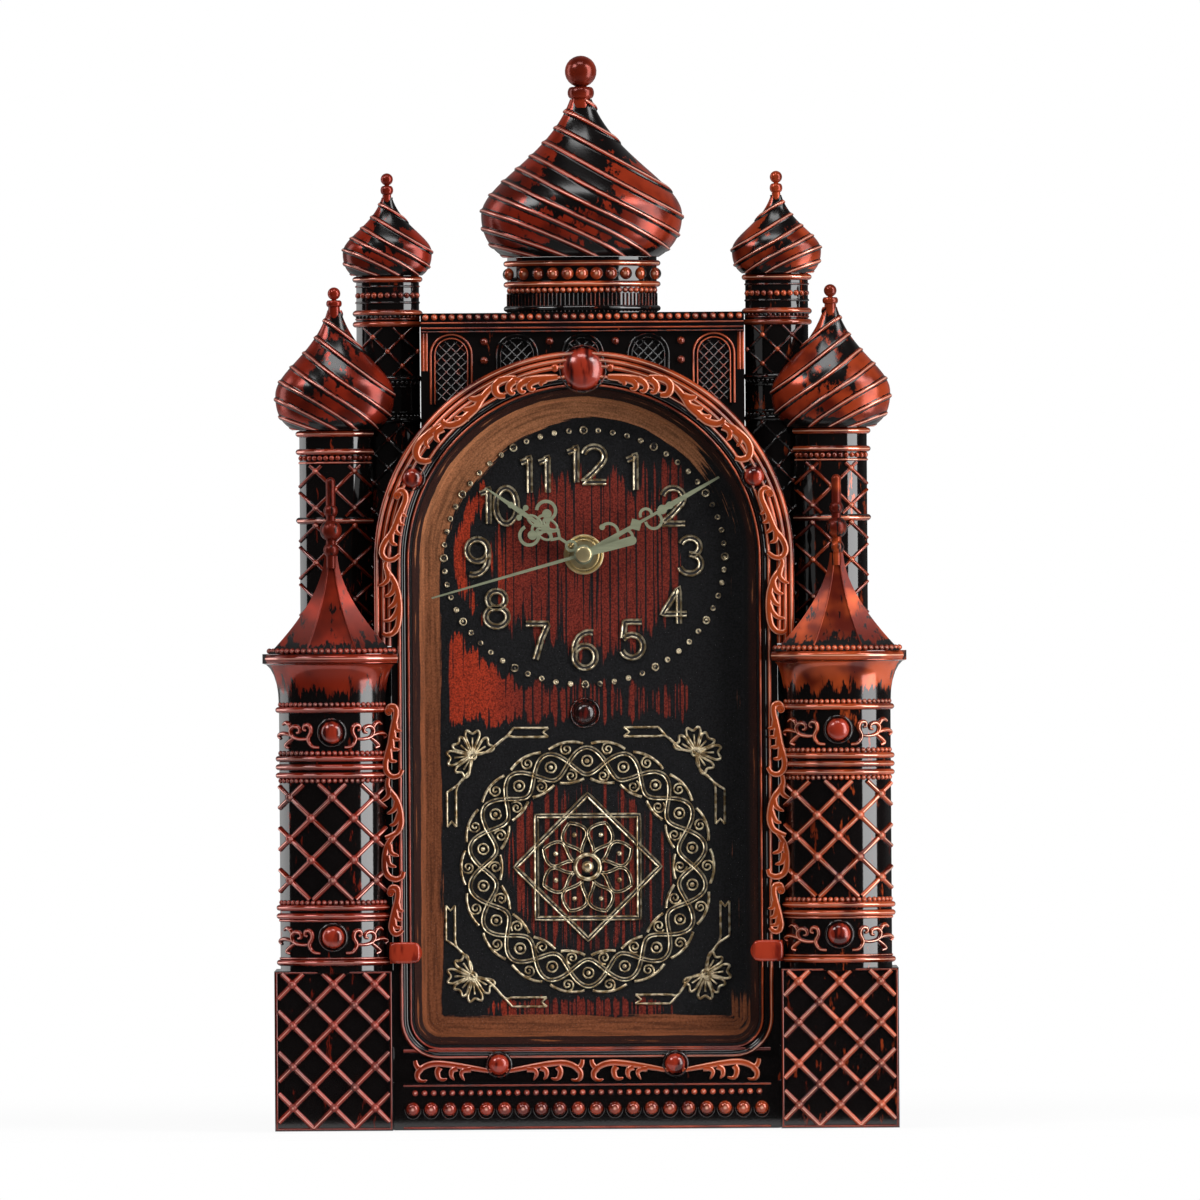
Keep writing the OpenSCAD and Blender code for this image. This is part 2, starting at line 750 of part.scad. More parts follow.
// Beaded drum that carries the main dome, open to the wall, with a peg into the case
module main_drum() {
    bulge = drum_d - drum_plane;
    rc = bulge_radius(drum_w, bulge);
    axis_d = drum_plane + bulge - rc;
    bead_pitch = (drum_w - drum_bead_r / 2) / (drum_bead_count - 1);
    color(lacquer) difference() {
        union() {
            column(0, drum_w, bulge, drum_plane, upper_top, drum_top, drum_rings);
            standing() {
                for (i = [0:drum_bead_count - 1]) let (x = (i - (drum_bead_count - 1) / 2) * bead_pitch)
                    translate([x, drum_bead_sink - axis_d - sqrt(rc * rc - x * x), drum_bead_z])
                        sphere(r = drum_bead_r);
                translate([0, -main_peg_d, upper_top - peg_len]) cylinder(r = main_peg_r, h = peg_len + wall);
            }
        }
        column_hollow(0, drum_w, bulge, drum_plane, upper_top + wall, drum_top - wall);
        standing() translate([0, -main_peg_d, drum_top - 2 * wall]) cylinder(r = main_peg_r + slip, h = far);
    }
}

module main_dome() {
    color(copper) standing() translate([0, -drum_plane, drum_top]) {
        dome(main_seat_r, main_r, main_h, main_neck_r, main_ribs, main_ball_r);
        translate([0, drum_plane - main_peg_d, -peg_len]) cylinder(r = main_peg_r, h = peg_len + wall);
    }
}

// Small dome over a tower of half width seat_r, with a peg into the tower's top
module small_dome(x, plane, z, seat_r, r, h) {
    color(copper) standing() translate([x, -plane, z]) mirror([1, 0, 0]) {
        dome(seat_r, r, h, neck_r, small_ribs, small_ball_r);
        translate([0, -peg_forward, -peg_len]) cylinder(r = peg_r, h = peg_len + wall);
    }
}

module side_dome() {
    small_dome(side_x, side_plane, side_top, side_w / 2, side_dome_r, side_dome_h);
}

module rear_dome() {
    small_dome(rear_x, rear_plane, rear_top, rear_w / 2, rear_dome_r, rear_dome_h);
}

module right_side_dome() {
    side_dome();
}

module left_side_dome() {
    mirror([1, 0, 0]) side_dome();
}

module right_rear_dome() {
    rear_dome();
}

module left_rear_dome() {
    mirror([1, 0, 0]) rear_dome();
}

// Eight-sided spire with hollow-curved sides, flat at the back, and its turned finial
module spire() {
    rows = [
        for (i = [0:spire_rows]) let (t = i / spire_rows)
            [spire_tip_r + (spire_r - spire_tip_r) * pow(1 - t, 1.7), spire_h * t]
    ];
    angles = [-157.5, -112.5, -67.5, -22.5];
    sides = len(angles) + 2;
    points = [
        for (p = rows) each concat(
            [[-p[0], 0, p[1]]],
            [for (a = angles) [p[0] * cos(a) / cos(22.5), spire_relief * p[0] * sin(a) / cos(22.5), p[1]]],
            [[p[0], 0, p[1]]]
        )
    ];
    faces = concat(
        [
            for (i = [0:spire_rows - 1]) for (j = [0:sides - 1]) let (
                a = i * sides + j,
                b = i * sides + (j + 1) % sides
            )
                each [[a, b + sides, b], [a, a + sides, b + sides]]
        ],
        [for (j = [1:sides - 2]) [0, j, j + 1]],
        [for (j = [1:sides - 2]) [spire_rows * sides, spire_rows * sides + j + 1, spire_rows * sides + j]]
    );
    polyhedron(points, faces);
    translate([0, -peg_forward, -peg_len]) cylinder(r = peg_r, h = peg_len + wall);
    translate([0, -spire_tip_r / 2, spire_h - 2 * spire_tip_r]) {
        cylinder(r = finial_rod_r, h = finial_h + 2 * spire_tip_r - finial_rod_r);
        translate([0, 0, finial_h + 2 * spire_tip_r - finial_rod_r]) sphere(r = finial_rod_r);
        translate([0, 0, 0.23 * finial_h]) sphere(r = 1.6 * finial_rod_r);
        translate([0, 0, 0.48 * finial_h]) sphere(r = 2.3 * finial_rod_r);
        translate([0, 0, 0.73 * finial_h]) sphere(r = 1.5 * finial_rod_r);
    }
}

module right_spire() {
    color(ruby) standing() translate([turret_x, -spire_plane, turret_top]) spire();
}

module left_spire() {
    color(ruby) standing() mirror([1, 0, 0]) translate([turret_x, -spire_plane, turret_top]) spire();
}

module dial_pan() {
    floor_back = dial_d - pan_t;
    ear_x = window_hw - 2;
    color(charcoal) facade() difference() {
        union() {
            translate([0, 0, floor_back]) linear_extrude(pan_t) window_outline(pan_wall_x / 2 - pan_lean);
            around_window() polygon([
                [0, pan_top],
                [pan_rim_x, pan_top],
                [pan_rim_x, pan_top - pan_rim_t],
                [pan_wall_x, pan_top - pan_rim_t],
                [pan_wall_x - pan_lean, floor_back],
                [-pan_lean, floor_back],
                [-pan_lean, dial_d]
            ]);
            both_sides() for (z = post_heights) translate([ear_x, z - ear_w / 2, post_foot - ear_t])
                cube([window_hw + pan_rim_x - ear_x, ear_w, ear_t]);
        }
        translate([0, pivot_z, floor_back - past]) cylinder(r = bush_r + slip, h = pan_t + 2 * past);
        translate([0, stud_z, floor_back - past]) cylinder(r = stud_shank_r + slip, h = pan_t + 2 * past);
        both_sides() for (z = post_heights) translate([post_x, z, 0]) {
            cylinder(r = screw_r + slip, h = far);
            translate([0, 0, post_foot]) cylinder(r = post_r + seam, h = far);
        }
    }
}

module window_lens() {
    color(clear) facade() translate([0, 0, lens_back]) linear_extrude(lens_t) window_outline(lens_ledge - slip);
}

// Clip with a round nose over the lens and a pin into the frame
module lens_clip() {
    nose_x = clip_end_x - clip_w + clip_h / 2;
    difference() {
        translate([0, clip_z, frame_d]) linear_extrude(clip_t) {
            translate([nose_x, 0]) circle(r = clip_h / 2);
            translate([nose_x, -clip_h / 2]) square([clip_end_x - nose_x, clip_h]);
        }
        around_window() translate([lip_x, frame_d]) circle(r = lip_r + seam / 2);
    }
    translate([clip_pin_x, clip_z, frame_d - pin_len]) cylinder(r = pin_r, h = pin_len + clip_t / 2);
}

module lens_clips() {
    color(ruby) facade() both_sides() lens_clip();
}

module keystone_boss() {
    color(ruby) facade() translate([0, keystone_y, frame_d]) {
        cap(keystone_r, keystone_rise);
        translate([0, 0, -pin_len]) cylinder(r = pin_r, h = pin_len + past);
    }
}

module dial_stud() {
    color(ruby) facade() translate([0, stud_z, dial_d]) {
        cap(stud_r, 0.6 * stud_r);
        translate([0, 0, -pan_t]) cylinder(r = stud_shank_r, h = pan_t + past);
    }
}

module hanger_plate() {
    boss_x = 5 * hanger_hole_r;
    plate_h = 4.6 * hanger_hole_r;
    color(steel) facade() translate([0, hang_z, 0]) difference() {
        linear_extrude(hanger_t) difference() {
            union() {
                square([2 * boss_x, plate_h], center = true);
                for (x = [-boss_x, boss_x]) translate([x, 0]) circle(r = plate_h / 2);
            }
            circle(r = hanger_hole_r);
        }
        both_sides() translate([boss_x, 0, 0]) {
            cylinder(r1 = screw_head_r + slip, r2 = screw_r + slip, h = screw_head_h);
            cylinder(r = screw_r + slip, h = far);
        }
    }
}

// Countersunk screws that hold the hanger plate to its two bosses
module hanger_screws() {
    color(steel) facade() both_sides() translate([5 * hanger_hole_r, hang_z, 0]) {
        cylinder(r1 = screw_head_r, r2 = screw_r, h = screw_head_h);
        cylinder(r = screw_r, h = pilot_depth + hanger_t);
    }
}

// Pan-head screw: the head's underside lies at the origin, the shank runs along +z
module pan_head_screw(length) {
    translate([0, 0, -screw_head_h]) cylinder(r = screw_head_r, h = screw_head_h);
    translate([0, 0, -screw_head_h / 2]) cylinder(r = screw_r, h = length + screw_head_h / 2);
}

module pan_screws() {
    color(steel) facade() both_sides() for (z = post_heights)
        translate([post_x, z, post_foot - ear_t]) pan_head_screw(ear_t + pilot_depth - slip);
}

module tower_screws() {
    color(steel) standing() both_sides() for (z = tower_screw_heights)
        translate([case_hw - wall, -tower_screw_d, z]) rotate([0, 90, 0]) pan_head_screw(2 * wall + seam);
}

module movement_case() {
    box_h = movement_up - box_bottom;
    inner_w = movement_w - 2 * box_wall;
    color(black_plastic) at_pivot([0, 0], 0) difference() {
        union() {
            translate([-movement_w / 2, box_bottom, cover_front])
                cube([movement_w, box_h, movement_front - cover_front]);
            translate([-movement_w / 2, box_bottom, movement_back])
                cube([movement_w, divider_top - box_bottom, cover_t + past]);
            translate([0, 0, wall_in]) cylinder(r = bush_r, h = bush_top - wall_in);
        }
        difference() {
            translate([-inner_w / 2, divider_top, -past])
                cube([inner_w, movement_up - box_wall - divider_top, wall_in + past]);
            translate([motion_at[0], motion_at[1], layer_2 - 0.1]) cylinder(r = motion_stud_r, h = far);
        }
        translate([-inner_w / 2, box_bottom + box_wall, -past])
            cube([inner_w, divider_top - divider_t - box_bottom - box_wall, wall_in + past]);
        translate([0, 0, wall_in - past]) cylinder(r = hour_pipe_r + run, h = far);
    }
}

// Pins of the cover that the wheels run on, each with its height
module cover_pins() {
    module pin(at, r, top) {
        translate([at[0], at[1], cover_front - past / 2]) cylinder(r = r, h = top - cover_front + past / 2);
    }
    pin(third_at, arbor_r, layer_3 + wheel_t + 0.2);
    pin(inter_at, arbor_r, layer_5 + wheel_t + 0.2);
    pin(rotor_at, arbor_r, layer_6 + wheel_t + 0.2);
    for (x = stator_span) pin([x + (x < 0 ? 1 : -1) * stator_leg / 2, stator_post_y], 1, stator_d);
    pin([board_x[0] + 3, board_y[0] + 3], 1, board_d);
    pin([board_x[1] - 3, board_y[1] - 3], 1, board_d);
}

module movement_cover() {
    color(black_plastic) at_pivot([0, 0], 0) difference() {
        union() {
            translate([-movement_w / 2, divider_top, movement_back])
                cube([movement_w, movement_up - divider_top, cover_t]);
            cover_pins();
            translate([0, 0, cover_front - past / 2]) cylinder(r = 2, h = layer_6 - 0.3 - cover_front + past / 2);
        }
        translate([0, 0, cover_front]) cylinder(r = arbor_r + run, h = far);
        translate([knob_at[0], knob_at[1], 0]) cylinder(r = knob_shaft_r + run, h = far);
    }
}

module circuit_board() {
    color(board_green) at_pivot([0, 0], board_d) {
        translate([board_x[0], board_y[0], 0]) cube([board_x[1] - board_x[0], board_y[1] - board_y[0], board_t]);
        translate([board_x[0] + 8, board_y[0] + 12, board_t / 2]) cylinder(r = 3, h = board_t);
        translate([board_x[0] + 8, board_y[0] + 20, board_t / 2]) cube([6, 2, 2 * board_t], center = false);
    }
}

module stator() {
    span = stator_span[1] - stator_span[0];
    color(steel) at_pivot([0, 0], stator_d) linear_extrude(stator_t) difference() {
        union() {
            translate([stator_span[0], stator_foot]) square([span, stator_yoke]);
            for (x = [stator_span[0], stator_span[1] - stator_leg]) translate([x, stator_foot])
                square([stator_leg, coil_y + core_h / 2 - stator_foot]);
            translate([stator_span[0], coil_y - core_h / 2]) square([span, core_h]);
        }
        translate(rotor_at) circle(r = magnet_r + magnet_gap);
        translate(inter_at) circle(r = 2 * arbor_r);
    }
}

module coil() {
    x0 = stator_span[0] + stator_leg;
    x1 = stator_span[1] - stator_leg;
    color([0.7, 0.35, 0.15]) at_pivot([0, coil_y], stator_d + stator_t / 2) difference() {
        rotate([0, 90, 0]) {
            translate([0, 0, x0]) cylinder(r = coil_r, h = x1 - x0);
            translate([0, 0, x0]) cylinder(r = flange_r, h = flange_t);
            translate([0, 0, x1 - flange_t]) cylinder(r = flange_r, h = flange_t);
        }
        translate([x0 - past, -core_h / 2 - slip, -stator_t / 2 - slip])
            cube([x1 - x0 + 2 * past, core_h + 2 * slip, stator_t + 2 * slip]);
    }
}

module dry_cell() {
    body = cell_len - cell_nub;
    color([0.25, 0.27, 0.3]) at_pivot([-cell_len / 2, cell_y], cell_d) rotate([0, 90, 0]) {
        cylinder(r = cell_r, h = body);
        cylinder(r = cell_nub_r, h = cell_len);
    }
}

// Sprung plates at the two ends of the dry cell, each with a pressed dimple
module cell_contacts() {
    bay_hw = movement_w / 2 - box_wall;
    dimple = bay_hw - cell_len / 2;
    color(steel) at_pivot([0, cell_y], cell_d) both_sides() {
        translate([bay_hw - contact_t, -contact_w / 2, -contact_w / 2]) cube([contact_t, contact_w, contact_w]);
        translate([bay_hw - dimple, 0, 0]) rotate([0, 90, 0]) cylinder(r1 = 1.2, r2 = 2.6, h = dimple - contact_t / 2);
    }
}

module seal_ring() {
    color(black_plastic) at_pivot([0, 0], movement_front) linear_extrude(seal_t) difference() {
        circle(r = seal_r);
        circle(r = bush_r + slip);
    }
}

module dial_washer() {
    color(brass) at_pivot([0, 0], dial_d) rotate_extrude() difference() {
        polygon([[0, 0], [washer_r, 0], [washer_r, washer_t / 2], [washer_r - 1, washer_t], [0, washer_t]]);
        square([bush_r + slip, washer_t]);
    }
}

// Round nut with four spanner notches
module bush_nut() {
    color(brass) at_pivot([0, 0], dial_d + washer_t) linear_extrude(nut_t) difference() {
        circle(r = nut_r);
        circle(r = bush_r + slip);
        for (a = [0, 90, 180, 270]) rotate(a) translate([nut_r - 0.8, -0.7]) square([2, 1.4]);
    }
}

// Toothed wheel with straight-flanked teeth and generous backlash
module wheel_outline(n, m, phase) {
    pitch_r = n * m / 2;
    root_r = pitch_r - dedendum * m;
    tip_r = pitch_r + addendum * m;
    polygon([
        for (k = [0:n - 1]) let (a = phase + 360 * k / n, p = 360 / n)
            each [
                polar(root_r, a - tooth_root * p),
                polar(tip_r, a - tooth_tip * p),
                polar(tip_r, a + tooth_tip * p),
                polar(root_r, a + tooth_root * p)
            ]
    ]);
}

module wheel(n, m, phase, d) {
    translate([0, 0, d]) linear_extrude(wheel_t) wheel_outline(n, m, phase);
}

// Bore through a wheel from one depth to another
module bore(r, d0, d1) {
    translate([0, 0, d0 - past]) cylinder(r = r, h = d1 - d0 + 2 * past);
}

module sleeve(r, d0, d1) {
    translate([0, 0, d0]) cylinder(r = r, h = d1 - d0);
}

module rotor() {
    color(steel) at_pivot(rotor_at, 0) difference() {
        union() {
            sleeve(magnet_r, layer_6 - 0.3 - magnet_t, layer_6 - 0.3);
            sleeve(2 * arbor_r - 0.3, layer_6 - 0.6, layer_6 + wheel_t / 2);
            wheel(rotor_n, rotor_m, rotor_phase, layer_6);
        }
        bore(arbor_r + run, layer_6 - 0.3 - magnet_t, layer_6 + wheel_t);
    }
}

module intermediate_wheel() {
    color(white_plastic) at_pivot(inter_at, 0) difference() {
        union() {
            wheel(inter_n, rotor_m, inter_phase, layer_6);
            sleeve(2 * arbor_r - 0.2, layer_6, layer_5 + wheel_t / 2);
            wheel(inter_pinion_n, inter_m, inter_phase, layer_5);
        }
        bore(arbor_r + run, layer_6, layer_5 + wheel_t);
    }
}

module second_wheel() {
    color(white_plastic) at_pivot([0, 0], 0) {
        wheel(second_n, inter_m, second_phase, layer_5);
        sleeve(2 * arbor_r, layer_5, layer_4 + wheel_t / 2);
        wheel(second_pinion_n, second_m, second_phase, layer_4);
        sleeve(arbor_r, cover_front + 0.2, second_d + hand_t);
    }
}

module third_wheel() {
    color(white_plastic) at_pivot(third_at, 0) difference() {
        union() {
            wheel(third_n, second_m, third_phase, layer_4);
            sleeve(2 * arbor_r - 0.1, layer_4, layer_3 + wheel_t / 2);
            wheel(third_pinion_n, third_m, third_pinion_phase, layer_3);
        }
        bore(arbor_r + run, layer_4, layer_3 + wheel_t);
    }
}

module minute_wheel() {
    color(white_plastic) at_pivot([0, 0], 0) difference() {
        union() {
            wheel(minute_n, third_m, minute_phase, layer_3);
            sleeve(minute_pipe_r, layer_3, minute_d + hand_t);
            wheel(cannon_n, cannon_m, minute_phase, layer_2);
        }
        bore(arbor_r + run, layer_3, minute_d + hand_t);
    }
}

module motion_wheel() {
    color(white_plastic) at_pivot(motion_at, 0) difference() {
        union() {
            wheel(motion_n, cannon_m, motion_phase, layer_2);
            sleeve(1.4, layer_2, layer_1 + wheel_t / 2);
            wheel(motion_pinion_n, hour_m, motion_phase, layer_1);
        }
        bore(motion_stud_r + run, layer_2, layer_1 + wheel_t);
    }
}

module hour_wheel() {
    color(white_plastic) at_pivot([0, 0], 0) difference() {
        union() {
            wheel(hour_n, hour_m, hour_phase, layer_1);
            sleeve(hour_pipe_r, layer_1, hour_d + hand_t);
        }
        bore(minute_pipe_r + run, layer_1, hour_d + hand_t);
    }
}

// Hand-setting wheel with its shaft through the cover and a knurled knob behind
module setting_knob() {
    notches = 18;
    color(white_plastic) at_pivot(knob_at, 0) {
        wheel(knob_n, cannon_m, knob_phase, layer_2);
        sleeve(knob_shaft_r, knob_back, layer_2 + wheel_t / 2);
        translate([0, 0, knob_back]) linear_extrude(movement_back - 0.2 - knob_back) difference() {
            circle(r = knob_r);
            for (k = [0:notches - 1]) rotate(360 * k / notches) translate([knob_r, 0]) circle(r = 0.4);
        }
    }
}

// Curved strap of the filigree hands: part of a ring, from angle a0 to a1
module curl(at, r, w, a0, a1) {
    steps = 20;
    angles = [for (i = [0:steps]) a0 + (a1 - a0) * i / steps];
    translate(at) polygon(concat(
        [for (a = angles) polar(r + w / 2, a)],
        [for (i = [0:steps]) polar(r - w / 2, angles[steps - i])]
    ));
}

module loop(at, r, w) {
    translate(at) difference() {
        circle(r = r + w / 2);
        circle(r = r - w / 2);
    }
}

// Tapered strap along the hand
module strap(y0, w0, y1, w1) {
    polygon([[-w0 / 2, y0], [w0 / 2, y0], [w1 / 2, y1], [-w1 / 2, y1]]);
}

module ball(at, r) {
    translate(at) circle(r = r);
}

// Hour hand: eye, pierced lozenge, two large volutes round a pair of leaves, and a spear
module hour_outline() {
    w = 1.2;
    ball([0, 0], hour_pipe_r + 1.7);
    loop([0, 6.4], 2, w);
    strap(8, w, 13, w);
    difference() {
        translate([0, 14.6]) circle(r = 3.2, $fn = 4);
        translate([0, 14.6]) circle(r = 1.5, $fn = 4);
    }
    strap(17, 2 * w, 20, w);
    both_sides() {
        curl([2.1, 22], 2.3, w, -150, 150);
        curl([6.3, 23.4], 4, w + 0.2, -165, 120);
        ball([5.4, 22.4], 2);
        strap_to_volute();
        ball([2.5, 31.2], 1.2);
    }
    strap(19, w, 33, 1.8 * w);
    translate([-2.5, 30.6]) square([5, w]);
    ball([0, 37], 1.3);
    strap(31, 2 * w, hour_len, 0.5);
}

// Short bar that ties a volute to the stem
module strap_to_volute() {
    polygon([[0.4, 17.2], [3.4, 20.4], [3.4, 21.8], [0.4, 19.4]]);
}

// Minute hand: stem, one long and one short scroll, a leaf, a second scroll pair and a blade
module minute_outline() {
    w = 1.2;
    ball([0, 0], minute_pipe_r + 2.2);
    strap(2, 2.6, 11, 2);
    curl([-2.6, 13.6], 4, w, -60, 190);
    curl([2.4, 18.6], 3.2, w, -120, 130);
    ball([-6.1, 12.4], 1.2);
    strap(9, 2 * w, 30, w);
    translate([0, 25.2]) circle(r = 3, $fn = 4);
    curl([2.2, 32.6], 3.4, w, -110, 120);
    curl([-1.6, 31], 2.4, w, 60, 270);
    strap(28, w, 38, w);
    ball([0, 38], 2);
    ball([0, 41.6], 1.6);
    strap(36, 2 * w, 46, 2.2);
    strap(45, 2.2, minute_len, 0.9);
}

module second_outline() {
    ball([0, 0], 3.2);
    strap(-second_tail + 1.9, 3.8, 0, 2.6);
    ball([0, -second_tail + 1.9], 1.9);
    strap(0, 1.5, second_len, 0.7);
}

module hour_hand() {
    color(olive_brass) at_pivot([0, 0], hour_d) rotate(-hour_angle) linear_extrude(hand_t) difference() {
        hour_outline();
        circle(r = hour_pipe_r + slip);
    }
}

module minute_hand() {
    color(olive_brass) at_pivot([0, 0], minute_d) rotate(-minute_angle) linear_extrude(hand_t) difference() {
        minute_outline();
        circle(r = minute_pipe_r + slip);
    }
}

module second_hand() {
    cap_h = 2;
    color(olive_brass) at_pivot([0, 0], second_d) difference() {
        union() {
            rotate(-second_angle) linear_extrude(hand_t) second_outline();
            translate([0, 0, hand_t]) cap(cap_r, cap_h);
        }
        translate([0, 0, -past]) cylinder(r = arbor_r + slip, h = past + hand_t + slip);
    }
}

front_case();
left_tower();
right_tower();
main_drum();
main_dome();
left_side_dome();
right_side_dome();
left_rear_dome();
right_rear_dome();
left_spire();
right_spire();
dial_pan();
window_lens();
lens_clips();
keystone_boss();
dial_stud();
hanger_plate();
hanger_screws();
pan_screws();
tower_screws();
movement_case();
movement_cover();
circuit_board();
coil();
stator();
dry_cell();
cell_contacts();
seal_ring();
dial_washer();
bush_nut();
rotor();
intermediate_wheel();
second_wheel();
second_hand();
third_wheel();
minute_wheel();
minute_hand();
motion_wheel();
hour_wheel();
hour_hand();
setting_knob();
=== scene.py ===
import json
from math import pi, radians, tau

import bmesh
import bpy
import numpy as np
from mathutils import Matrix, Vector

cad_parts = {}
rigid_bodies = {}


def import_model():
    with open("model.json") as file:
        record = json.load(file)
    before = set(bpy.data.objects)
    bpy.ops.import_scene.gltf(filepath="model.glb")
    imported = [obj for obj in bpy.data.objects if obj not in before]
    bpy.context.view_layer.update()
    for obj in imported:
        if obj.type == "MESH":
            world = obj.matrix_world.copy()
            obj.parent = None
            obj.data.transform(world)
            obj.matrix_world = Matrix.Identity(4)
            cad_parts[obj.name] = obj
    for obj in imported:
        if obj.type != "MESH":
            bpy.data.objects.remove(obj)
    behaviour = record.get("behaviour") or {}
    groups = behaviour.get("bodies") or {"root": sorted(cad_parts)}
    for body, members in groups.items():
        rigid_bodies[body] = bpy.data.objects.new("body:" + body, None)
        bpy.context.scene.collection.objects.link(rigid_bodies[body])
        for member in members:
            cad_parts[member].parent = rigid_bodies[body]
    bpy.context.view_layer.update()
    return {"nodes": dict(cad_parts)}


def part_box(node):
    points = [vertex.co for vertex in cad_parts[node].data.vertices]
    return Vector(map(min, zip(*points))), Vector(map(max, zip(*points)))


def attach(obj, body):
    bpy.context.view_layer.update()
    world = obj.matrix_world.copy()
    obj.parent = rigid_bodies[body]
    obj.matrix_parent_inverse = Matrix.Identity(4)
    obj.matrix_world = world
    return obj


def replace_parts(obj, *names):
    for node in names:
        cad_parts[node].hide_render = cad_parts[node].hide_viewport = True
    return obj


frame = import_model()

# Studio. The clock stands on a white floor in front of white paper, so the camera sees white all round it.
# Two tall softboxes stand at its sides and three small ones hang high in front; the room in front is dark.
scene = bpy.context.scene
scene.view_settings.view_transform = "Standard"
for spare in [o for o in bpy.data.objects if o.name in ("Cube", "Light", "Camera")]:
    bpy.data.objects.remove(spare)
base_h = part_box("front_case")[0].z * 1000
dial_aim = Vector((0, -0.03, -0.11))
white, paper_white = (1, 1, 1, 1), (0.96, 0.96, 0.96, 1)


def feed(node, **inputs):
    """Sets or links a node's sockets, named with underscores for spaces or numbered s0, s1 and so on."""
    for key, value in inputs.items():
        socket = node.inputs[int(key[1:]) if key[1:].isdigit() else key.replace("_", " ")]
        if isinstance(value, bpy.types.NodeSocket):
            node.id_data.links.new(value, socket)
        else:
            socket.default_value = value
    return node


def shade(tree, kind, options=None, **inputs):
    """Adds one shader node; options set its properties and inputs feed its sockets."""
    made = tree.nodes.new("ShaderNode" + kind)
    for key, value in (options or {}).items():
        setattr(made, key, value)
    return feed(made, **inputs)


def calc(tree, operation, a, b=0.0):
    """One value worked out from two."""
    return shade(tree, "Math", {"operation": operation}, s0=a, s1=b).outputs[0]


def fade(tree, factor, a, b):
    """A value that goes from a to b as the factor goes from 0 to 1."""
    return shade(tree, "Mix", {"data_type": "FLOAT"}, s0=factor, s2=a, s3=b).outputs[0]


def tint(tree, factor, a, b):
    """A colour that goes from a to b as the factor goes from 0 to 1."""
    return shade(tree, "Mix", {"data_type": "RGBA"}, s0=factor, s6=a, s7=b).outputs[2]


def ramp(tree, value, low, high, start=0.0, end=1.0):
    """A value that eases from start to end while its input goes from low to high."""
    options = {"interpolation_type": "SMOOTHSTEP"}
    return shade(tree, "MapRange", options, s0=value, s1=low, s2=high, s3=start, s4=end).outputs[0]


def softbox(name, spot, size, radiance):
    """A flat lamp turned to the dial; its power is its radiance times pi times its area."""
    lamp = bpy.data.lights.new(name, "AREA")
    lamp.shape = "RECTANGLE"
    lamp.size, lamp.size_y = size
    lamp.energy = radiance * pi * size[0] * size[1]
    stand = bpy.data.objects.new(name, lamp)
    scene.collection.objects.link(stand)
    stand.location = spot
    stand.rotation_euler = (dial_aim - Vector(spot)).to_track_quat("-Z", "Y").to_euler()
    stand.visible_camera = False


softbox("left_softbox", (-1.2, 0.12, 0.05), (0.45, 1.5), 2.8)
softbox("right_softbox", (1.0, -0.55, 0.0), (0.55, 1.5), 6.2)
softbox("high_left_softbox", (-1.3, -1.1, 1.3), (0.7, 0.6), 11.0)
softbox("high_right_softbox", (1.3, -1.1, 1.3), (0.6, 0.5), 10.0)
softbox("top_softbox", (-0.1, -1.0, 1.7), (1.0, 0.3), 9.0)

world = bpy.data.worlds.new("studio")
scene.world = world
world.use_nodes = True
sky = world.node_tree
sky.nodes.clear()
ambient, mirror_front, mirror_back, mirror_floor = 0.22, 0.02, 0.25, 0.3
path = shade(sky, "LightPath").outputs
heading = shade(sky, "SeparateXYZ", s0=shade(sky, "TexCoord").outputs["Generated"]).outputs
seen = calc(sky, "MAXIMUM", path["Is Camera Ray"], path["Is Transmission Ray"])
mirrored = ramp(sky, heading["Y"], -0.1, 0.6, mirror_front, mirror_back)
mirrored = calc(sky, "MAXIMUM", mirrored, ramp(sky, heading["Z"], -0.75, -0.3, mirror_floor, 0.0))
level = fade(sky, seen, fade(sky, path["Is Glossy Ray"], ambient, mirrored), 1.0)
backdrop = shade(sky, "Background", Color=white, Strength=level)
shade(sky, "OutputWorld", Surface=backdrop.outputs[0])

floor_gap, floor_near, floor_far, floor_side = 0.0004, -0.14, 1.2, 1.4
floor_z = base_h / 1000 - floor_gap
floor_mesh = bpy.data.meshes.new("floor")
floor_mesh.from_pydata(
    [(-floor_side, floor_near, floor_z), (floor_side, floor_near, floor_z), (floor_side, floor_far, floor_z),
     (-floor_side, floor_far, floor_z)], [], [(0, 1, 2, 3)])
floor = bpy.data.objects.new("floor", floor_mesh)
scene.collection.objects.link(floor)
paper = bpy.data.materials.new("paper")
paper.use_nodes = True
tree = paper.node_tree
tree.nodes.clear()
path = shade(tree, "LightPath").outputs
seen = calc(tree, "MAXIMUM", path["Is Camera Ray"], path["Is Transmission Ray"])
glow = shade(tree, "Emission", Color=white, Strength=1.0)
matt = shade(tree, "BsdfDiffuse", Color=paper_white)
spot = shade(tree, "TexCoord").outputs["Object"]
away = shade(tree, "VectorMath", {"operation": "LENGTH"}, s0=spot).outputs["Value"]
share = calc(tree, "MULTIPLY", seen, ramp(tree, away, 0.36, 0.62, 0.9, 1.0))
both = shade(tree, "MixShader", s0=share, s1=matt.outputs[0], s2=glow.outputs[0])
shade(tree, "OutputMaterial", Surface=both.outputs[0])
floor_mesh.materials.append(paper)

field, distance, photo_roll, sensor = 0.504, 6.0, -0.376, 36
camera_spot = (0.0067, -0.03 - distance, -0.1092)
lens = bpy.data.cameras.new("photo")
lens.sensor_width = sensor
lens.lens = sensor * distance / field
lens.clip_end = 50
camera = bpy.data.objects.new("photo", lens)
scene.collection.objects.link(camera)
camera.matrix_world = (
    Matrix.Translation(camera_spot)
    @ Matrix.Rotation(radians(90), 4, "X")
    @ Matrix.Rotation(radians(photo_roll), 4, "Z")
)
scene.camera = camera


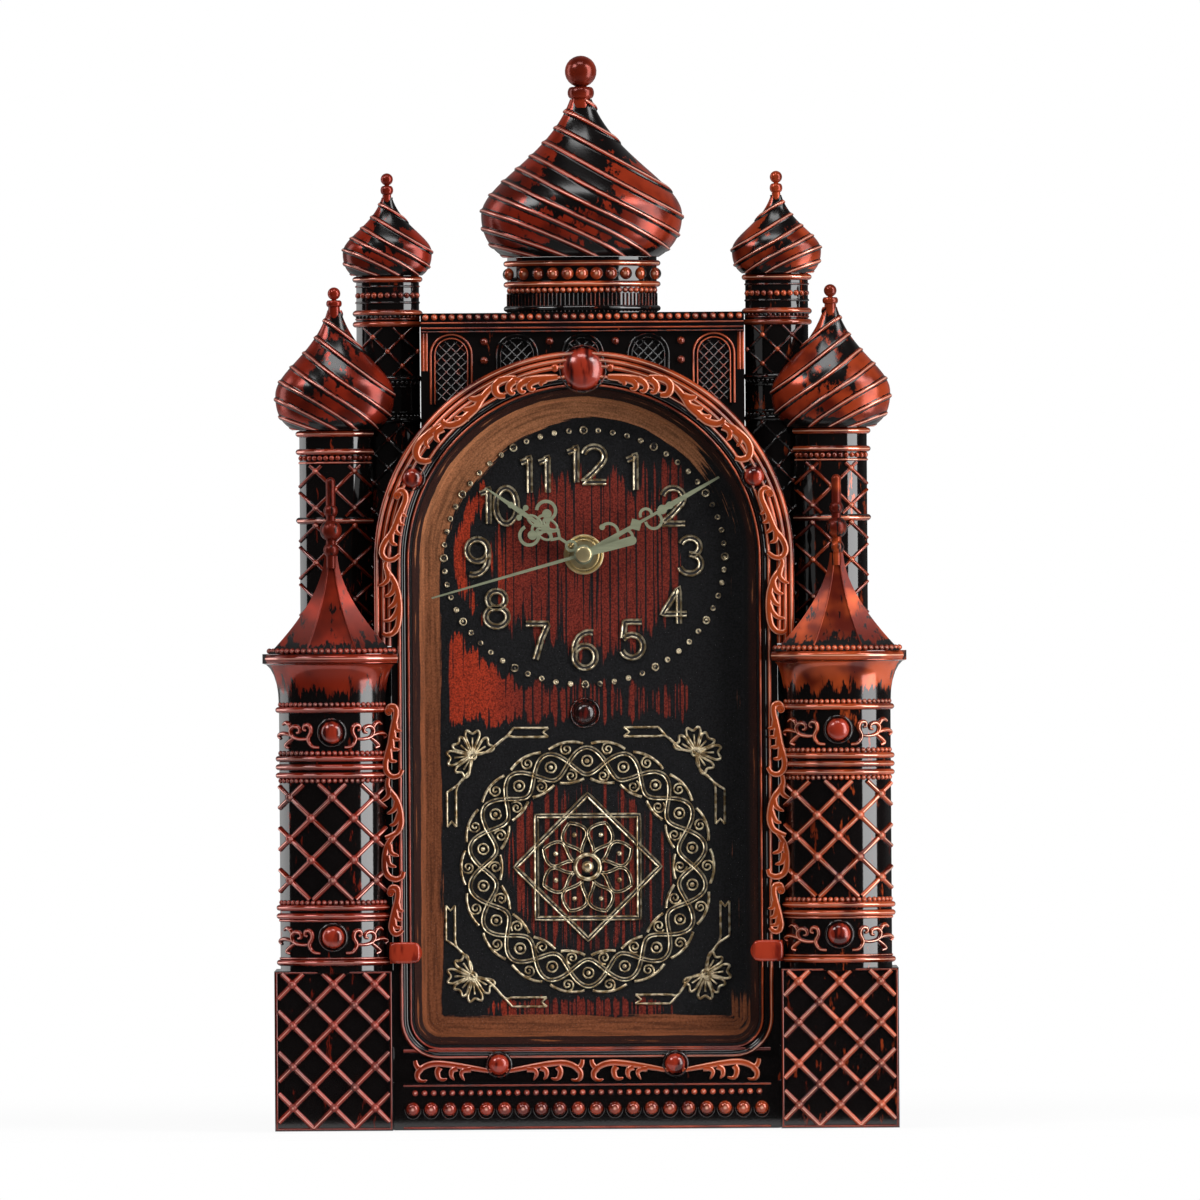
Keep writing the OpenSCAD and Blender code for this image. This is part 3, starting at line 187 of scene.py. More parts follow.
# Case and towers. Hollow mouldings of hard plastic, sprayed gloss black and then dry-brushed with copper
# red, which catches on raised edges; the solids come from the frame and take the lacquer here.
lacquer_black = (0.004, 0.003, 0.003, 1)
copper_deep = (0.1, 0.009, 0.004, 1)
copper_red = (0.27, 0.021, 0.008, 1)
copper_orange = (0.48, 0.074, 0.017, 1)
# Pale red and orange for the painted highlight along the crests of cords.
highlight_red = (0.9, 0.42, 0.34, 1)
highlight_orange = (0.95, 0.5, 0.34, 1)


def blank(name):
    """A new material, with its tree, its shader and the object's coordinates."""
    material = bpy.data.materials.new(name)
    material.use_nodes = True
    tree = material.node_tree
    return material, tree, tree.nodes["Principled BSDF"], shade(tree, "TexCoord").outputs["Object"]


def stretched(tree, vector, scale):
    """Coordinates scaled along each axis, which draws noise out along the axes with a low scale."""
    return shade(tree, "Mapping", Vector=vector, Scale=scale).outputs[0]


def noise(tree, vector, scale, detail, roughness=0.5):
    """Soft noise about a half."""
    return shade(tree, "TexNoise", Vector=vector, Scale=scale, Detail=detail, Roughness=roughness).outputs[0]


def moved(tree, value, by, size):
    """A value plus size times the distance of a noise from a half."""
    return calc(tree, "ADD", value, calc(tree, "MULTIPLY", calc(tree, "SUBTRACT", by, 0.5), size))


def layer(tree, name):
    """A value kept on the mesh's points."""
    return shade(tree, "Attribute", {"attribute_name": name}).outputs["Fac"]


def dented(tree, height, strength, distance):
    """A surface direction tilted by the slope of a height."""
    return shade(tree, "Bump", Strength=strength, Distance=distance, Height=height).outputs[0]


def dress(node, material):
    """Gives one solid of the frame its material."""
    slots = frame["nodes"][node].data.materials
    slots.clear()
    slots.append(material)


def coppered(name, grain, bias=0.0, spread=0.7, deep=0.32, side_shade=0.0, warm=0.0, coat=0.5, satin=0.0,
             sheen=0.5):
    """Black lacquer under copper: copper shows where the gilt layer, a bias and stretched noise add up to
    more than a half; its tone drifts with broad noise and from red at the lower left to orange at the upper
    right; painted shade darkens it where gilt falls below one, by the side-shade share, and a painted
    highlight makes it palest where gilt is over one; a clear coat lies over all."""
    material, tree, shader, spot = blank(name)
    gilt_and_painted_light = layer(tree, "gilt_and_painted_light")
    brush = noise(tree, stretched(tree, spot, grain), 1.0, 4.0, 0.65)
    worn = ramp(tree, moved(tree, calc(tree, "ADD", gilt_and_painted_light, bias), brush, spread * 2), 0.43, 0.57)
    where = shade(tree, "SeparateXYZ", s0=spot).outputs
    upper_right = calc(tree, "ADD", calc(tree, "MULTIPLY", where["X"], 2.0), where["Z"])
    warmth = ramp(tree, upper_right, -0.42 - warm, 0.05 - warm)
    copper = tint(tree, warmth, copper_red, copper_orange)
    copper = tint(tree, ramp(tree, noise(tree, spot, 70.0, 2.0), deep, deep + 0.3), copper_deep, copper)
    # Painted shade darkens the copper on the sides of cords where gilt is below one; a painted highlight
    # lightens it where gilt is over one.
    copper = tint(tree, ramp(tree, gilt_and_painted_light, 0.45, 1.0, side_shade, 0.0), copper, copper_deep)
    copper = tint(tree, ramp(tree, gilt_and_painted_light, 1.0, 1.35), copper, tint(tree, warmth, highlight_red, highlight_orange))
    feed(shader, Base_Color=tint(tree, worn, lacquer_black, copper),
         Metallic=calc(tree, "MULTIPLY", worn, 0.35), Roughness=fade(tree, worn, 0.07 + satin, 0.11 + satin),
         Normal=dented(tree, noise(tree, spot, 900.0, 2.0), 0.06, 0.0001), Specular_IOR_Level=sheen,
         Coat_Weight=coat, Coat_Roughness=0.05)
    return material


for node, smear in (("front_case", 0.2), ("left_tower", 0.27), ("right_tower", 0.3), ("main_drum", 0.1)):
    dress(node, coppered(node + "_lacquer", (220, 220, 60), bias=smear, coat=0.4))


# Arch mouldings. Three half-round cords rise from the shoulders and run round the arch, and the window's
# mouth has a copper lip, a black rail and a thin red line; all are moulded in one with the front.
frame_d = 35.0
arch_h, arch_foot = 238.4, 203.0
window_half, window_sill, window_corner = 73.3, 34.4, 12.0
weld, sliver = 2e-6, 1e-7
cord_section = np.array([(-1, -1), (-1, 0), (-0.75, 0.65), (-0.25, 0.97), (0, 1), (0.25, 0.97), (0.75, 0.65),
                         (1, 0), (1, -1)], float)
# Painted light: 1.35 on a cord's crest is a painted highlight line, and the lower values towards its feet
# carry painted shade on its sides.
cord_gilt_and_painted_light = np.array([0.2, 0.55, 0.85, 1.0, 1.35, 1.0, 0.85, 0.55, 0.2])
trim_copper = coppered("trim_copper", (330, 330, 160), bias=0.06, spread=0.5, side_shade=0.8, warm=0.08)


def place(points):
    """Facade points (x across, h above the base, d out from the wall, in mm) as metres in the frame."""
    x, h, d = np.moveaxis(np.asarray(points, float), -1, 0)
    return np.stack([x, -d, h + base_h], -1) / 1000


def piece(name, parts, material, slot, crease=50.0, body="case", **layers):
    """Joins grids into one object riding on a body. A part is (points, gilt, loop): grids of rows and
    columns whose columns close into rings; rows close too where loop is set, and ends drawn to a point are
    welded. Layers are further values for each point."""
    corners, faces, values, start = [], [], [], 0
    for points, gilt_and_painted_light, loop in parts:
        points = np.asarray(points, float)
        many = points.reshape(-1, *points.shape[-3:])
        index = start + np.arange(many[..., 0].size).reshape(many.shape[:3])
        below, above = (index, np.roll(index, -1, 1)) if loop else (index[:, :-1], index[:, 1:])
        ring = np.stack([below, np.roll(below, -1, 2), np.roll(above, -1, 2), above], -1)
        faces.append(ring.reshape(-1, 4))
        corners.append(many.reshape(-1, 3))
        values.append(np.broadcast_to(gilt_and_painted_light, points.shape[:-1]).reshape(-1))
        start += index.size
    mesh = bpy.data.meshes.new(name)
    mesh.from_pydata(place(np.concatenate(corners)), [], np.concatenate(faces).tolist())
    # Painted light: besides the copper cover, the gilt layer holds painted highlights above one and painted
    # shade on the sides of cords below one.
    for key, value in {"gilt_and_painted_light": np.concatenate(values), **layers}.items():
        mesh.attributes.new(key, "FLOAT", "POINT").data.foreach_set("value", np.ravel(value))
    work = bmesh.new()
    work.from_mesh(mesh)
    bmesh.ops.remove_doubles(work, verts=work.verts, dist=weld)
    bmesh.ops.dissolve_degenerate(work, edges=work.edges, dist=sliver)
    bmesh.ops.recalc_face_normals(work, faces=work.faces)
    work.to_mesh(mesh)
    work.free()
    mesh.polygons.foreach_set("use_smooth", np.ones(len(mesh.polygons), bool))
    mesh.set_sharp_from_angle(angle=radians(crease))
    mesh.materials.append(material)
    made = bpy.data.objects.new(name, mesh)
    scene.collection.objects.link(made)
    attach(made, body)
    return made


def ridge(path, half, rise, section=cord_section, out=(0, 0, 1), sink=0.5, loop=False):
    """Sweeps a section along paths: across is the path's direction crossed with out, and a section point
    (u, v) lies u half-widths across and v rises out, or sink inwards where v is negative; open ends are
    closed."""
    path = np.asarray(path, float)
    out = np.broadcast_to(np.asarray(out, float), path.shape)
    along = np.roll(path, -1, -2) - np.roll(path, 1, -2) if loop else np.gradient(path, axis=-2)
    across = np.cross(along, out)
    across = across / np.linalg.norm(across, axis=-1, keepdims=True)
    half, rise = (np.broadcast_to(v, path.shape[:-1])[..., None, None] for v in (half, rise))
    u, v = section[:, :1], section[:, 1:]
    lift = np.where(v < 0, v * sink, v * rise)
    grid = path[..., None, :] + across[..., None, :] * (half * u) + out[..., None, :] * lift
    if loop:
        return grid
    ends = np.broadcast_to(grid.mean(-2, keepdims=True), grid.shape)
    return np.concatenate([ends[..., :1, :, :], grid, ends[..., -1:, :, :]], -3)


def cord(path, half, rise, strength=1.0, loop=False, **sweep):
    """A half-round ridge as a part, with its copper scaled by the strength."""
    return ridge(path, half, rise, loop=loop, **sweep), cord_gilt_and_painted_light * strength, loop


def flat(x, h, d):
    """Facade points at one depth or at many."""
    return np.stack(np.broadcast_arrays(np.asarray(x, float), h, d), -1)


def arch_path(radius, count=90):
    """A line up one side, round a half circle and down the other side."""
    turn = np.linspace(pi, 0, count)
    x = np.concatenate([[-radius] * 6, radius * np.cos(turn), [radius] * 6])
    legs = np.linspace(arch_foot, arch_h - 2, 6)
    h = np.concatenate([legs, arch_h + radius * np.sin(turn), legs[::-1]])
    return flat(x, h, frame_d)


def window_path(grow, depth, count=60):
    """The window's outline moved outwards, as a closed line: sill, two round corners, jambs, half circle."""
    half, low = window_half + grow, window_sill - grow
    corner = max(window_corner + grow, 1.5)
    quarter = np.linspace(0, pi / 2, 10)
    turn = np.linspace(0, pi, count)
    jamb = np.linspace(low + corner + 4, arch_h - 4, 24)
    foot = np.linspace(-half + corner + 3, half - corner - 3, 16)
    right = np.stack([half - corner + corner * np.sin(quarter), low + corner - corner * np.cos(quarter)], -1)
    side = np.stack([np.full(24, half), jamb], -1)
    bow = np.stack([half * np.cos(turn), arch_h + half * np.sin(turn)], -1)
    sill = np.stack([foot, np.full(16, low)], -1)
    mirror = np.array([-1, 1])
    line = np.concatenate([sill, right, side, bow, side[::-1] * mirror, right[::-1] * mirror])
    return flat(*line.T, depth)


mouldings = []
for radius, half, strength in ((86.9, 1.28, 1.0), (84.3, 1.22, 0.98), (81.8, 1.15, 0.98)):
    mouldings.append(cord(arch_path(radius), half, half * 1.15, strength))
for grow, half, rise, strength in ((4.2, 0.95, 1.1, 1.0), (2.4, 0.9, 0.8, 0.15), (0.5, 0.5, 0.5, 0.85)):
    mouldings.append(cord(window_path(grow, frame_d), half, rise, strength, loop=True))
piece("arch_mouldings", mouldings, trim_copper, "lacquer")


# Leaf scrolls. Rounded acanthus stems with comma-shaped hooks follow the arch and the jambs on both sides,
# parted by round cabochons; they are moulded on the front and the copper lies on all of their relief, with a
# painted highlight along each edge and painted shade down the sides.
band_section = np.array([(-1, -1), (-1, 0.2), (-0.8, 0.75), (-0.4, 1), (0, 0.95), (0.4, 1), (0.8, 0.75),
                         (1, 0.2), (1, -1)], float)
# Painted light: 1.25 on the rounded edges is a painted highlight, and the lower values down the sides carry
# painted shade.
band_gilt_and_painted_light = np.array([0.2, 0.9, 1.25, 1.0, 0.95, 1.0, 1.25, 0.9, 0.2])
leaf_copper = coppered("leaf_copper", (330, 330, 160), bias=0.1, spread=0.35, deep=0.15, side_shade=0.5,
                       warm=0.14)
arch_leaves = [
    ([(-10.5, 315.4), (-15.5, 315.0), (-20.6, 314.6), (-24.8, 314.2)],
     [[(-16.0, 314.6), (-17.4, 313.1), (-17.2, 311.6)],
      [(-18.5, 314.6), (-21.4, 313.3), (-22.5, 311.6), (-21.4, 310.2), (-19.7, 310.8)],
      [(-23.1, 314.2), (-25.4, 313.1), (-26.7, 311.2), (-25.6, 309.3), (-23.7, 309.8)]]),
    ([(-26.0, 314.6), (-30.2, 315.0), (-34.0, 314.4), (-36.5, 312.5), (-36.8, 310.0), (-35.3, 307.9),
      (-32.5, 307.7)],
     [[(-28.6, 314.2), (-30.5, 312.5), (-31.1, 310.4), (-29.8, 308.7), (-28.1, 309.3)]]),
    ([(-36.5, 312.9), (-40.0, 309.6), (-42.8, 306.2), (-44.9, 302.8), (-48.5, 299.5), (-52.1, 296.5),
      (-55.9, 295.5), (-58.6, 296.5), (-59.2, 298.2)],
     [[(-42.4, 307.0), (-44.9, 306.4), (-47.0, 306.8), (-47.9, 308.3)],
      [(-44.9, 302.8), (-47.5, 302.0), (-49.6, 302.2), (-50.8, 303.5)],
      [(-48.3, 299.0), (-50.8, 298.2), (-52.7, 298.4), (-54.0, 299.5)]]),
    ([(-55.9, 295.3), (-59.2, 295.3), (-62.2, 294.0), (-65.1, 291.9), (-68.0, 289.2), (-69.7, 286.4),
      (-70.1, 283.5), (-68.9, 281.2), (-66.4, 280.4), (-63.8, 281.0)],
     [[(-58.8, 294.4), (-61.3, 292.7), (-61.7, 290.2), (-60.0, 288.3)],
      [(-63.4, 292.3), (-65.7, 290.2), (-65.9, 287.7), (-64.5, 285.8)]]),
]
jamb_leaves = [
    ([(-78.5, 265.9), (-77.9, 267.5), (-76.4, 268.4), (-74.8, 267.1), (-74.6, 264.6), (-75.6, 261.7),
      (-77.3, 257.9), (-78.8, 254.1), (-80.6, 250.3), (-83.2, 247.0), (-84.6, 243.6), (-84.4, 241.1),
      (-82.5, 239.2), (-79.8, 239.4), (-77.3, 241.3)],
     [[(-76.2, 260.4), (-76.2, 258.7), (-74.1, 257.2)],
      [(-77.9, 256.6), (-77.1, 254.5), (-75.0, 253.7)],
      [(-79.2, 253.7), (-78.8, 251.2), (-76.4, 249.3)],
      [(-80.9, 249.9), (-80.4, 246.5), (-78.1, 245.3)]]),
    ([(-82.7, 239.0), (-83.2, 236.5), (-82.1, 233.9), (-80.4, 231.4), (-79.0, 228.5), (-77.9, 224.3),
      (-77.5, 219.7), (-77.7, 214.6), (-78.5, 210.8), (-80.6, 208.3), (-83.0, 207.7), (-84.6, 208.5)],
     [[(-82.3, 234.4), (-82.1, 231.4), (-83.8, 229.3), (-86.1, 228.3)],
      [(-79.4, 228.5), (-80.2, 226.0), (-81.9, 224.3), (-83.8, 223.9)],
      [(-78.1, 223.9), (-79.4, 221.1), (-81.1, 219.5), (-82.5, 219.0)],
      [(-77.7, 219.2), (-79.0, 216.3), (-81.5, 214.0), (-84.4, 213.6)]]),
    ([(-82.5, 175.1), (-82.7, 176.6), (-81.3, 177.9), (-79.4, 177.0), (-79.2, 174.3), (-80.0, 170.5),
      (-80.9, 166.3), (-81.7, 161.7), (-83.0, 157.1), (-83.8, 153.3), (-83.2, 150.2), (-81.1, 148.3),
      (-78.3, 148.7), (-76.6, 151.2)],
     [[(-79.8, 170.5), (-79.0, 168.0), (-76.7, 167.4)],
      [(-80.6, 166.7), (-79.8, 164.2), (-77.3, 163.8)],
      [(-81.3, 163.0), (-80.6, 160.0), (-77.7, 159.6)],
      [(-82.3, 158.8), (-81.5, 155.2), (-78.8, 154.6)]]),
    ([(-82.7, 147.8), (-83.0, 144.5), (-81.7, 142.0), (-79.8, 139.4), (-78.3, 136.1), (-77.5, 131.9),
      (-77.5, 128.1), (-78.8, 125.2), (-81.5, 123.5), (-84.0, 122.6)],
     [[(-82.5, 143.6), (-82.5, 140.7), (-84.2, 138.8), (-86.5, 137.8)],
      [(-79.0, 137.8), (-79.8, 135.2), (-81.3, 133.6), (-83.4, 132.7)],
      [(-77.9, 132.7), (-79.0, 130.0), (-80.4, 128.3), (-82.3, 127.9)]]),
    ([(-79.8, 124.3), (-81.9, 121.8), (-83.4, 118.9), (-84.2, 115.5), (-84.4, 111.7), (-84.0, 108.4),
      (-82.3, 106.1), (-79.8, 105.2), (-77.3, 106.1), (-76.4, 108.4)],
     [[(-82.5, 119.7), (-81.5, 116.3), (-78.3, 114.9)],
      [(-83.4, 115.1), (-82.3, 111.5), (-79.4, 110.3)]]),
    ([(-82.1, 99.1), (-82.3, 100.6), (-81.1, 101.9), (-79.2, 101.2), (-78.8, 98.7), (-79.4, 95.3),
      (-80.4, 91.6), (-81.3, 87.8), (-81.7, 84.8), (-80.6, 82.5), (-78.5, 82.5), (-77.1, 84.0)],
     [[(-79.2, 94.9), (-78.3, 92.4), (-76.4, 91.8)],
      [(-80.2, 91.6), (-79.2, 88.8), (-76.9, 88.0)],
      [(-80.9, 88.2), (-80.0, 85.3), (-77.3, 84.8)]]),
]
volute_eyes = [(-78.1, 266.0), (-82.2, 175.4), (-81.8, 99.4)]
jamb_d, jamb_sink = frame_d + 1.4, 3.6


def smooth(points, count):
    """A curve through the points: on each span, the cubic whose end slopes are half the neighbours'
    difference."""
    p = np.asarray(points, float)
    slope = np.gradient(p, axis=0)
    t = np.linspace(0, len(p) - 1, count)
    i = np.minimum(t.astype(int), len(p) - 2)
    s = (t - i)[:, None]
    a, b, m, n = p[i], p[i + 1], slope[i], slope[i + 1]
    start = a * (2 * s**3 - 3 * s**2 + 1) + m * (s**3 - 2 * s**2 + s)
    return start + b * (3 * s**2 - 2 * s**3) + n * (s**3 - s**2)


def leaf(stem, hooks, depth, half, rise, sink=0.6):
    """A band along the stem, thin at both ends, and hooks that taper from the stem to a point: the
    half-width follows the square root of what is left of the hook."""
    line = smooth(stem, 6 * len(stem))
    swell = 0.5 + 0.5 * np.sin(np.linspace(0.12, pi - 0.12, len(line))) ** 0.6
    curves = [(line, swell, swell)]
    for hook in hooks:
        line = smooth(hook, 4 * len(hook))
        taper = 0.12 + 0.95 * np.sqrt(np.linspace(1, 0, len(line)))
        curves.append((line, taper, taper**0.5))
    bands = [ridge(flat(*line.T, depth), half * wide, rise * tall, band_section, sink=sink)
             for line, wide, tall in curves]
    return [(band, band_gilt_and_painted_light, False) for band in bands]


def other_side(parts):
    """The same parts and their mirror images across the middle of the facade."""
    return parts + [(points * (-1, 1, 1), gilt_and_painted_light, loop) for points, gilt_and_painted_light, loop in parts]


leaves = []
for stem, hooks in arch_leaves:
    leaves += leaf(stem, hooks, frame_d, half=1.9, rise=1.8)
for stem, hooks in jamb_leaves:
    leaves += leaf(stem, hooks, jamb_d, half=1.5, rise=1.7, sink=jamb_sink)
turn = np.linspace(0, 1.6 * tau, 24)
coil = 1.5 * (1 - turn / (2 * tau))
for x, h in volute_eyes:
    eye = flat(x + coil * np.cos(turn), h + coil * np.sin(turn), jamb_d)
    leaves.append((ridge(eye, 0.7, 1.6, band_section, sink=jamb_sink), band_gilt_and_painted_light, False))
piece("leaf_scrolls", other_side(leaves), leaf_copper, "lacquer")


# Cabochons and red fittings. Domed glossy red stones in ring seats on the arch, the base and the turrets,
# the keystone, the stud and the two tabs that hold the glass; moulded in clear red over black.
def red_gloss(name, deep, bright, most):
    """Clear red over black: slanted streaks of noise go from the deep to the bright colour under a coat."""
    material, tree, shader, spot = blank(name)
    streak = shade(tree, "Mapping", Vector=spot, Rotation=(0, 0.7, 0), Scale=(260, 90, 90)).outputs[0]
    swirl = noise(tree, streak, 1.0, 2.0)
    feed(shader, Base_Color=tint(tree, ramp(tree, swirl, most - 0.2, most), deep, bright), Metallic=0.15,
         Roughness=ramp(tree, swirl, 0.3, 0.7, 0.16, 0.26), Coat_Weight=0.35, Coat_Roughness=0.1)
    return material


ruby = red_gloss("ruby", (0.05, 0.004, 0.003, 1), (0.34, 0.03, 0.012, 1), 0.56)
garnet = red_gloss("garnet", (0.012, 0.003, 0.003, 1), (0.12, 0.008, 0.005, 1), 0.66)
tab_red = red_gloss("tab_red", (0.16, 0.012, 0.006, 1), (0.4, 0.04, 0.015, 1), 0.5)
for node, material in (("keystone_boss", ruby), ("dial_stud", garnet), ("lens_clips", tab_red)):
    dress(node, material)


def cabochon(centre, radius, rise, rows=9, columns=28):
    """A dome on its seat: the radius falls with the cosine and the height grows with the sine of the row
    angle; the foot sinks into the face and is drawn to a point there."""
    turn = np.linspace(0, tau, columns, endpoint=False)
    tilt = np.linspace(0, pi / 2, rows)
    out = np.concatenate([[0, 1], np.cos(tilt)]) * radius
    up = np.concatenate([[-0.5, -0.5], np.sin(tilt) * rise])
    x, h, d = centre
    return flat(x + out[:, None] * np.cos(turn), h + out[:, None] * np.sin(turn), d + up[:, None])


def seat_ring(centre, radius, half=0.7, rise=1.1, strength=1.0, count=36):
    """A cord bent to a circle round a stone."""
    turn = np.linspace(0, tau, count, endpoint=False)
    x, h, d = centre
    line = flat(x + radius * np.cos(turn), h + radius * np.sin(turn), d)
    return cord(line, half, rise, strength, loop=True)


arch_gem, base_gem, gem_r, gem_rise = (71.8, 273.4, frame_d), (37.0, 27.2, 38.0), 4.2, 3.2
turret_x, turret_gem_d, turret_gem_r = 106.05, 45.6, 4.7
gems = [(arch_gem, gem_r), (base_gem, gem_r)]
gems += [((turret_x, h, turret_gem_d), turret_gem_r) for h in (81.2, 167.0)]
stones = [(cabochon(spot, radius + 0.12, gem_rise + 0.15), 1.0, False) for spot, radius in gems]
piece("cabochons", other_side(stones), ruby, "ruby")
tab_spot, tab_half = (-76.2, 74.3, 37.3), (6.5, 4.5)
turn = np.linspace(0, tau, 48, endpoint=False)
tab_x, tab_h = (np.sign(f(turn)) * abs(f(turn)) ** 0.45 for f in (np.cos, np.sin))
tab_in = np.array([0, 1, 1, 0.96, 0.88, 0.72, 0.4, 0])[:, None]
tab_up = np.array([-1.2, -1.2, 0, 0.7, 1.05, 1.25, 1.3, 1.3])[:, None]
tab = flat(tab_spot[0] + tab_half[0] * tab_in * tab_x, tab_spot[1] + tab_half[1] * tab_in * tab_h,
           tab_spot[2] + tab_up)
piece("glass_tabs", other_side([(tab, 1.0, False)]), tab_red, "ruby")
keystone, keystone_ear, stud = (0.0, 318.9, frame_d), (11.6, 319.4, frame_d), (0.0, 174.3, 21.0)
side_seats = [seat_ring(spot, radius + 0.9, strength=0.3) for spot, radius in gems]
side_seats.append((cabochon(keystone_ear, 1.9, 1.6, 6, 16), 0.9, False))
middle_seats = [seat_ring(keystone, 9.7, 0.6, 1.2, 0.35), seat_ring(stud, 6.0, 0.6, 0.9, 0.35)]
piece("stone_seats", other_side(side_seats) + middle_seats, trim_copper, "lacquer")


# Base. A band of mirrored scrolls under the window, then a row of small pearls and a row of large ones in
# scalloped cups along the plinth, with a thin line along the bottom edge; moulded on the case's foot.
plinth_d, band_d, plinth_half = 41.0, 38.0, 77.0
large_pitch, large_h, small_pitch, small_h = 7.7, 8.8, 3.9, 15.5
wing_stem = [(-2.9, -2.9), (-8.4, -1.9), (-14.7, -0.8), (-21.0, 0.2), (-26.5, 0.6), (-30.2, -0.2),
             (-33.2, -1.5), (-34.7, 0.0), (-35.1, 1.9)]
wing_hooks = [
    [(-32.8, -1.7), (-34.2, -3.6), (-34.0, -5.9), (-32.1, -6.9), (-30.2, -6.3)],
    [(-24.8, -1.0), (-25.8, -2.9), (-25.2, -5.5), (-23.5, -6.3), (-21.8, -5.7)],
    [(-17.6, -1.3), (-19.7, -2.5), (-19.9, -4.8), (-18.7, -6.5)],
    [(-11.8, -1.9), (-14.7, -2.3), (-15.8, -4.0), (-14.5, -6.7)],
]
ball_back = -0.45


def beads(centres, radius, rows=7, columns=10, gilt_and_painted_light=None):
    """Balls with a flat back, as a part: each row is a circle whose radius is the cosine of its latitude, at
    a depth that is the sine, but no deeper than the flat back; both poles are welded."""
    tilt = np.linspace(-pi / 2, pi / 2, rows)[:, None]
    turn = np.linspace(0, tau, columns, endpoint=False)
    depth = np.maximum(np.sin(tilt), ball_back)
    ball = flat(np.cos(tilt) * np.cos(turn), np.cos(tilt) * np.sin(turn), depth)
    balls = np.asarray(centres, float).reshape(-1, 1, 1, 3) + ball * radius
    return balls, glint(rows) if gilt_and_painted_light is None else gilt_and_painted_light, False


def glint(rows=7, strength=1.0):
    """The gilt of a ball's rows: the strength, and a third more on the front pole as a painted highlight."""
    return strength * np.append(np.ones(rows - 1), 1.32)[:, None]


def row_of(count, pitch, h, d):
    """Points spaced evenly either side of the middle."""
    return flat((np.arange(count) - (count - 1) / 2) * pitch, h, d)


wings = []
for flip in (-1, 1):
    turned = [np.array(line) * (flip, 1) + base_gem[:2] for line in (wing_stem, *wing_hooks)]
    wings += leaf(turned[0], turned[1:], band_d, half=1.4, rise=1.5)
piece("base_scrolls", other_side(wings), leaf_copper, "lacquer")
large = row_of(20, large_pitch, large_h, plinth_d)
small = row_of(38, small_pitch, small_h, plinth_d)
cup_turn = np.linspace(pi, tau, 13)
cups = flat(3.35 * np.cos(cup_turn), 0.2 + 4.2 * np.sin(cup_turn), 0.0) + large[:, None, :]
run = np.linspace(-plinth_half, plinth_half, 40)
hem = [cord(flat(run, h, d), half, rise, strength) for h, d, half, rise, strength in (
    (0.9, plinth_d, 0.55, 0.6, 0.75), (18.6, plinth_d, 0.5, 0.5, 0.6), (33.0, band_d - 3.0, 0.9, 0.8, 0.7))]
hem += [
    beads(large, 2.95, 9, 14),
    beads(small, 1.35),
    cord(cups, 0.45, 0.7, 0.25),
]
piece("plinth_pearls", hem, trim_copper, "lacquer")


# Upper wall. A beaded cornice over five round-headed niches filled with fine crossed bars, round studs
# between them and a copper panel at each end; moulded on the wall above the arch. Two black strips close
# the gaps beside the rear shafts.
upper_d, cornice_d, niche_floor, cornice_half = 26.0, 27.5, 24.8, 67.8
niche_w, niche_pitch, niche_spring, niche_middle = 15.0, 27.6, 325.2, 320.0
niche_legs = (317.0, 312.5, 304.5)
gap_x, gap_d, bare = 69.9, 9.4, -0.5


def crossed(half, low, high, wide, tall, node_h, steps):
    """Diagonals of a diamond net cut to a rectangle: height is node_h plus lean times tall over wide times
    the distance from the middle, plus whole talls; returns the lines' and the crossings' places."""
    count = int((high - low) / tall + 2 * half / wide) + 3
    k = np.arange(-count, count + 1)
    lines = []
    for lean in (-1, 1):
        ends = (np.array([low, high]) - node_h - k[:, None] * tall) * wide / (lean * tall)
        ends = np.clip(np.sort(ends, 1), -half, half)
        length = ends[:, 1] - ends[:, 0]
        long = length > wide / 8
        x = ends[long, :1] + length[long, None] * np.linspace(0, 1, steps)
        lines.append((x, node_h + k[long, None] * tall + lean * tall / wide * x))
    x, h = (np.concatenate(v) for v in zip(*lines))
    i, j = np.meshgrid(k, np.arange(-2 * count, 2 * count + 1))
    across, up = i * wide / 2, node_h + j * tall / 2
    inside = (abs(across) <= half) & (abs(up - (low + high) / 2) <= (high - low) / 2)
    keep = inside & ((i + j) % 2 == 0)
    return x, h, (across[keep], up[keep])


wall_parts = [beads(row_of(37, 3.66, 341.0, cornice_d), 1.4)]
run = np.linspace(-cornice_half, cornice_half, 40)
for h, strength in ((338.6, 0.9), (336.4, 0.8), (334.9, 0.5)):
    wall_parts.append(cord(flat(run, h, cornice_d), 0.42, 0.5, strength))
turn = np.linspace(pi, 0, 18)
for i in range(-2, 3):
    leg, middle = niche_legs[abs(i)], i * niche_pitch
    strength = 0.9 if abs(i) == 2 else 0.3
    for grow, half in ((1.1, 0.5), (-0.6, 0.35)):
        bow = niche_w / 2 + grow
        x = np.concatenate([[-bow, -bow], bow * np.cos(turn), [bow, bow]]) + middle
        h = np.concatenate([[leg, niche_middle], niche_spring + bow * np.sin(turn), [niche_middle, leg]])
        wall_parts.append(cord(flat(x, h, upper_d), half, 0.6, strength, sink=1.4))
    net_x, net_h, _ = crossed(half=niche_w / 2 - 0.6, low=leg + 1.5, high=331.0, wide=4.1, tall=4.1,
                              node_h=niche_middle, steps=4)
    wall_parts.append(cord(flat(net_x + middle, net_h, niche_floor), 0.42, 0.55, strength * 0.42))
for h in (330.7, 322.7):
    wall_parts.append(beads(row_of(4, niche_pitch, h, upper_d), 1.7, gilt_and_painted_light=0.55))
panel_h = np.linspace(318.5, 334.2, 10)
for x in (-67.2, 67.2, -65.8, 65.8):
    wall_parts.append((ridge(flat(x, panel_h, upper_d), 0.75, 0.35), 0.95, False))
gap_h = np.linspace(238.0, 343.0, 12)
for x in (-gap_x, gap_x):
    wall_parts.append((ridge(flat(x, gap_h, gap_d), 1.4, 0.3, sink=1.5), bare, False))
piece("upper_wall", wall_parts, trim_copper, "lacquer")


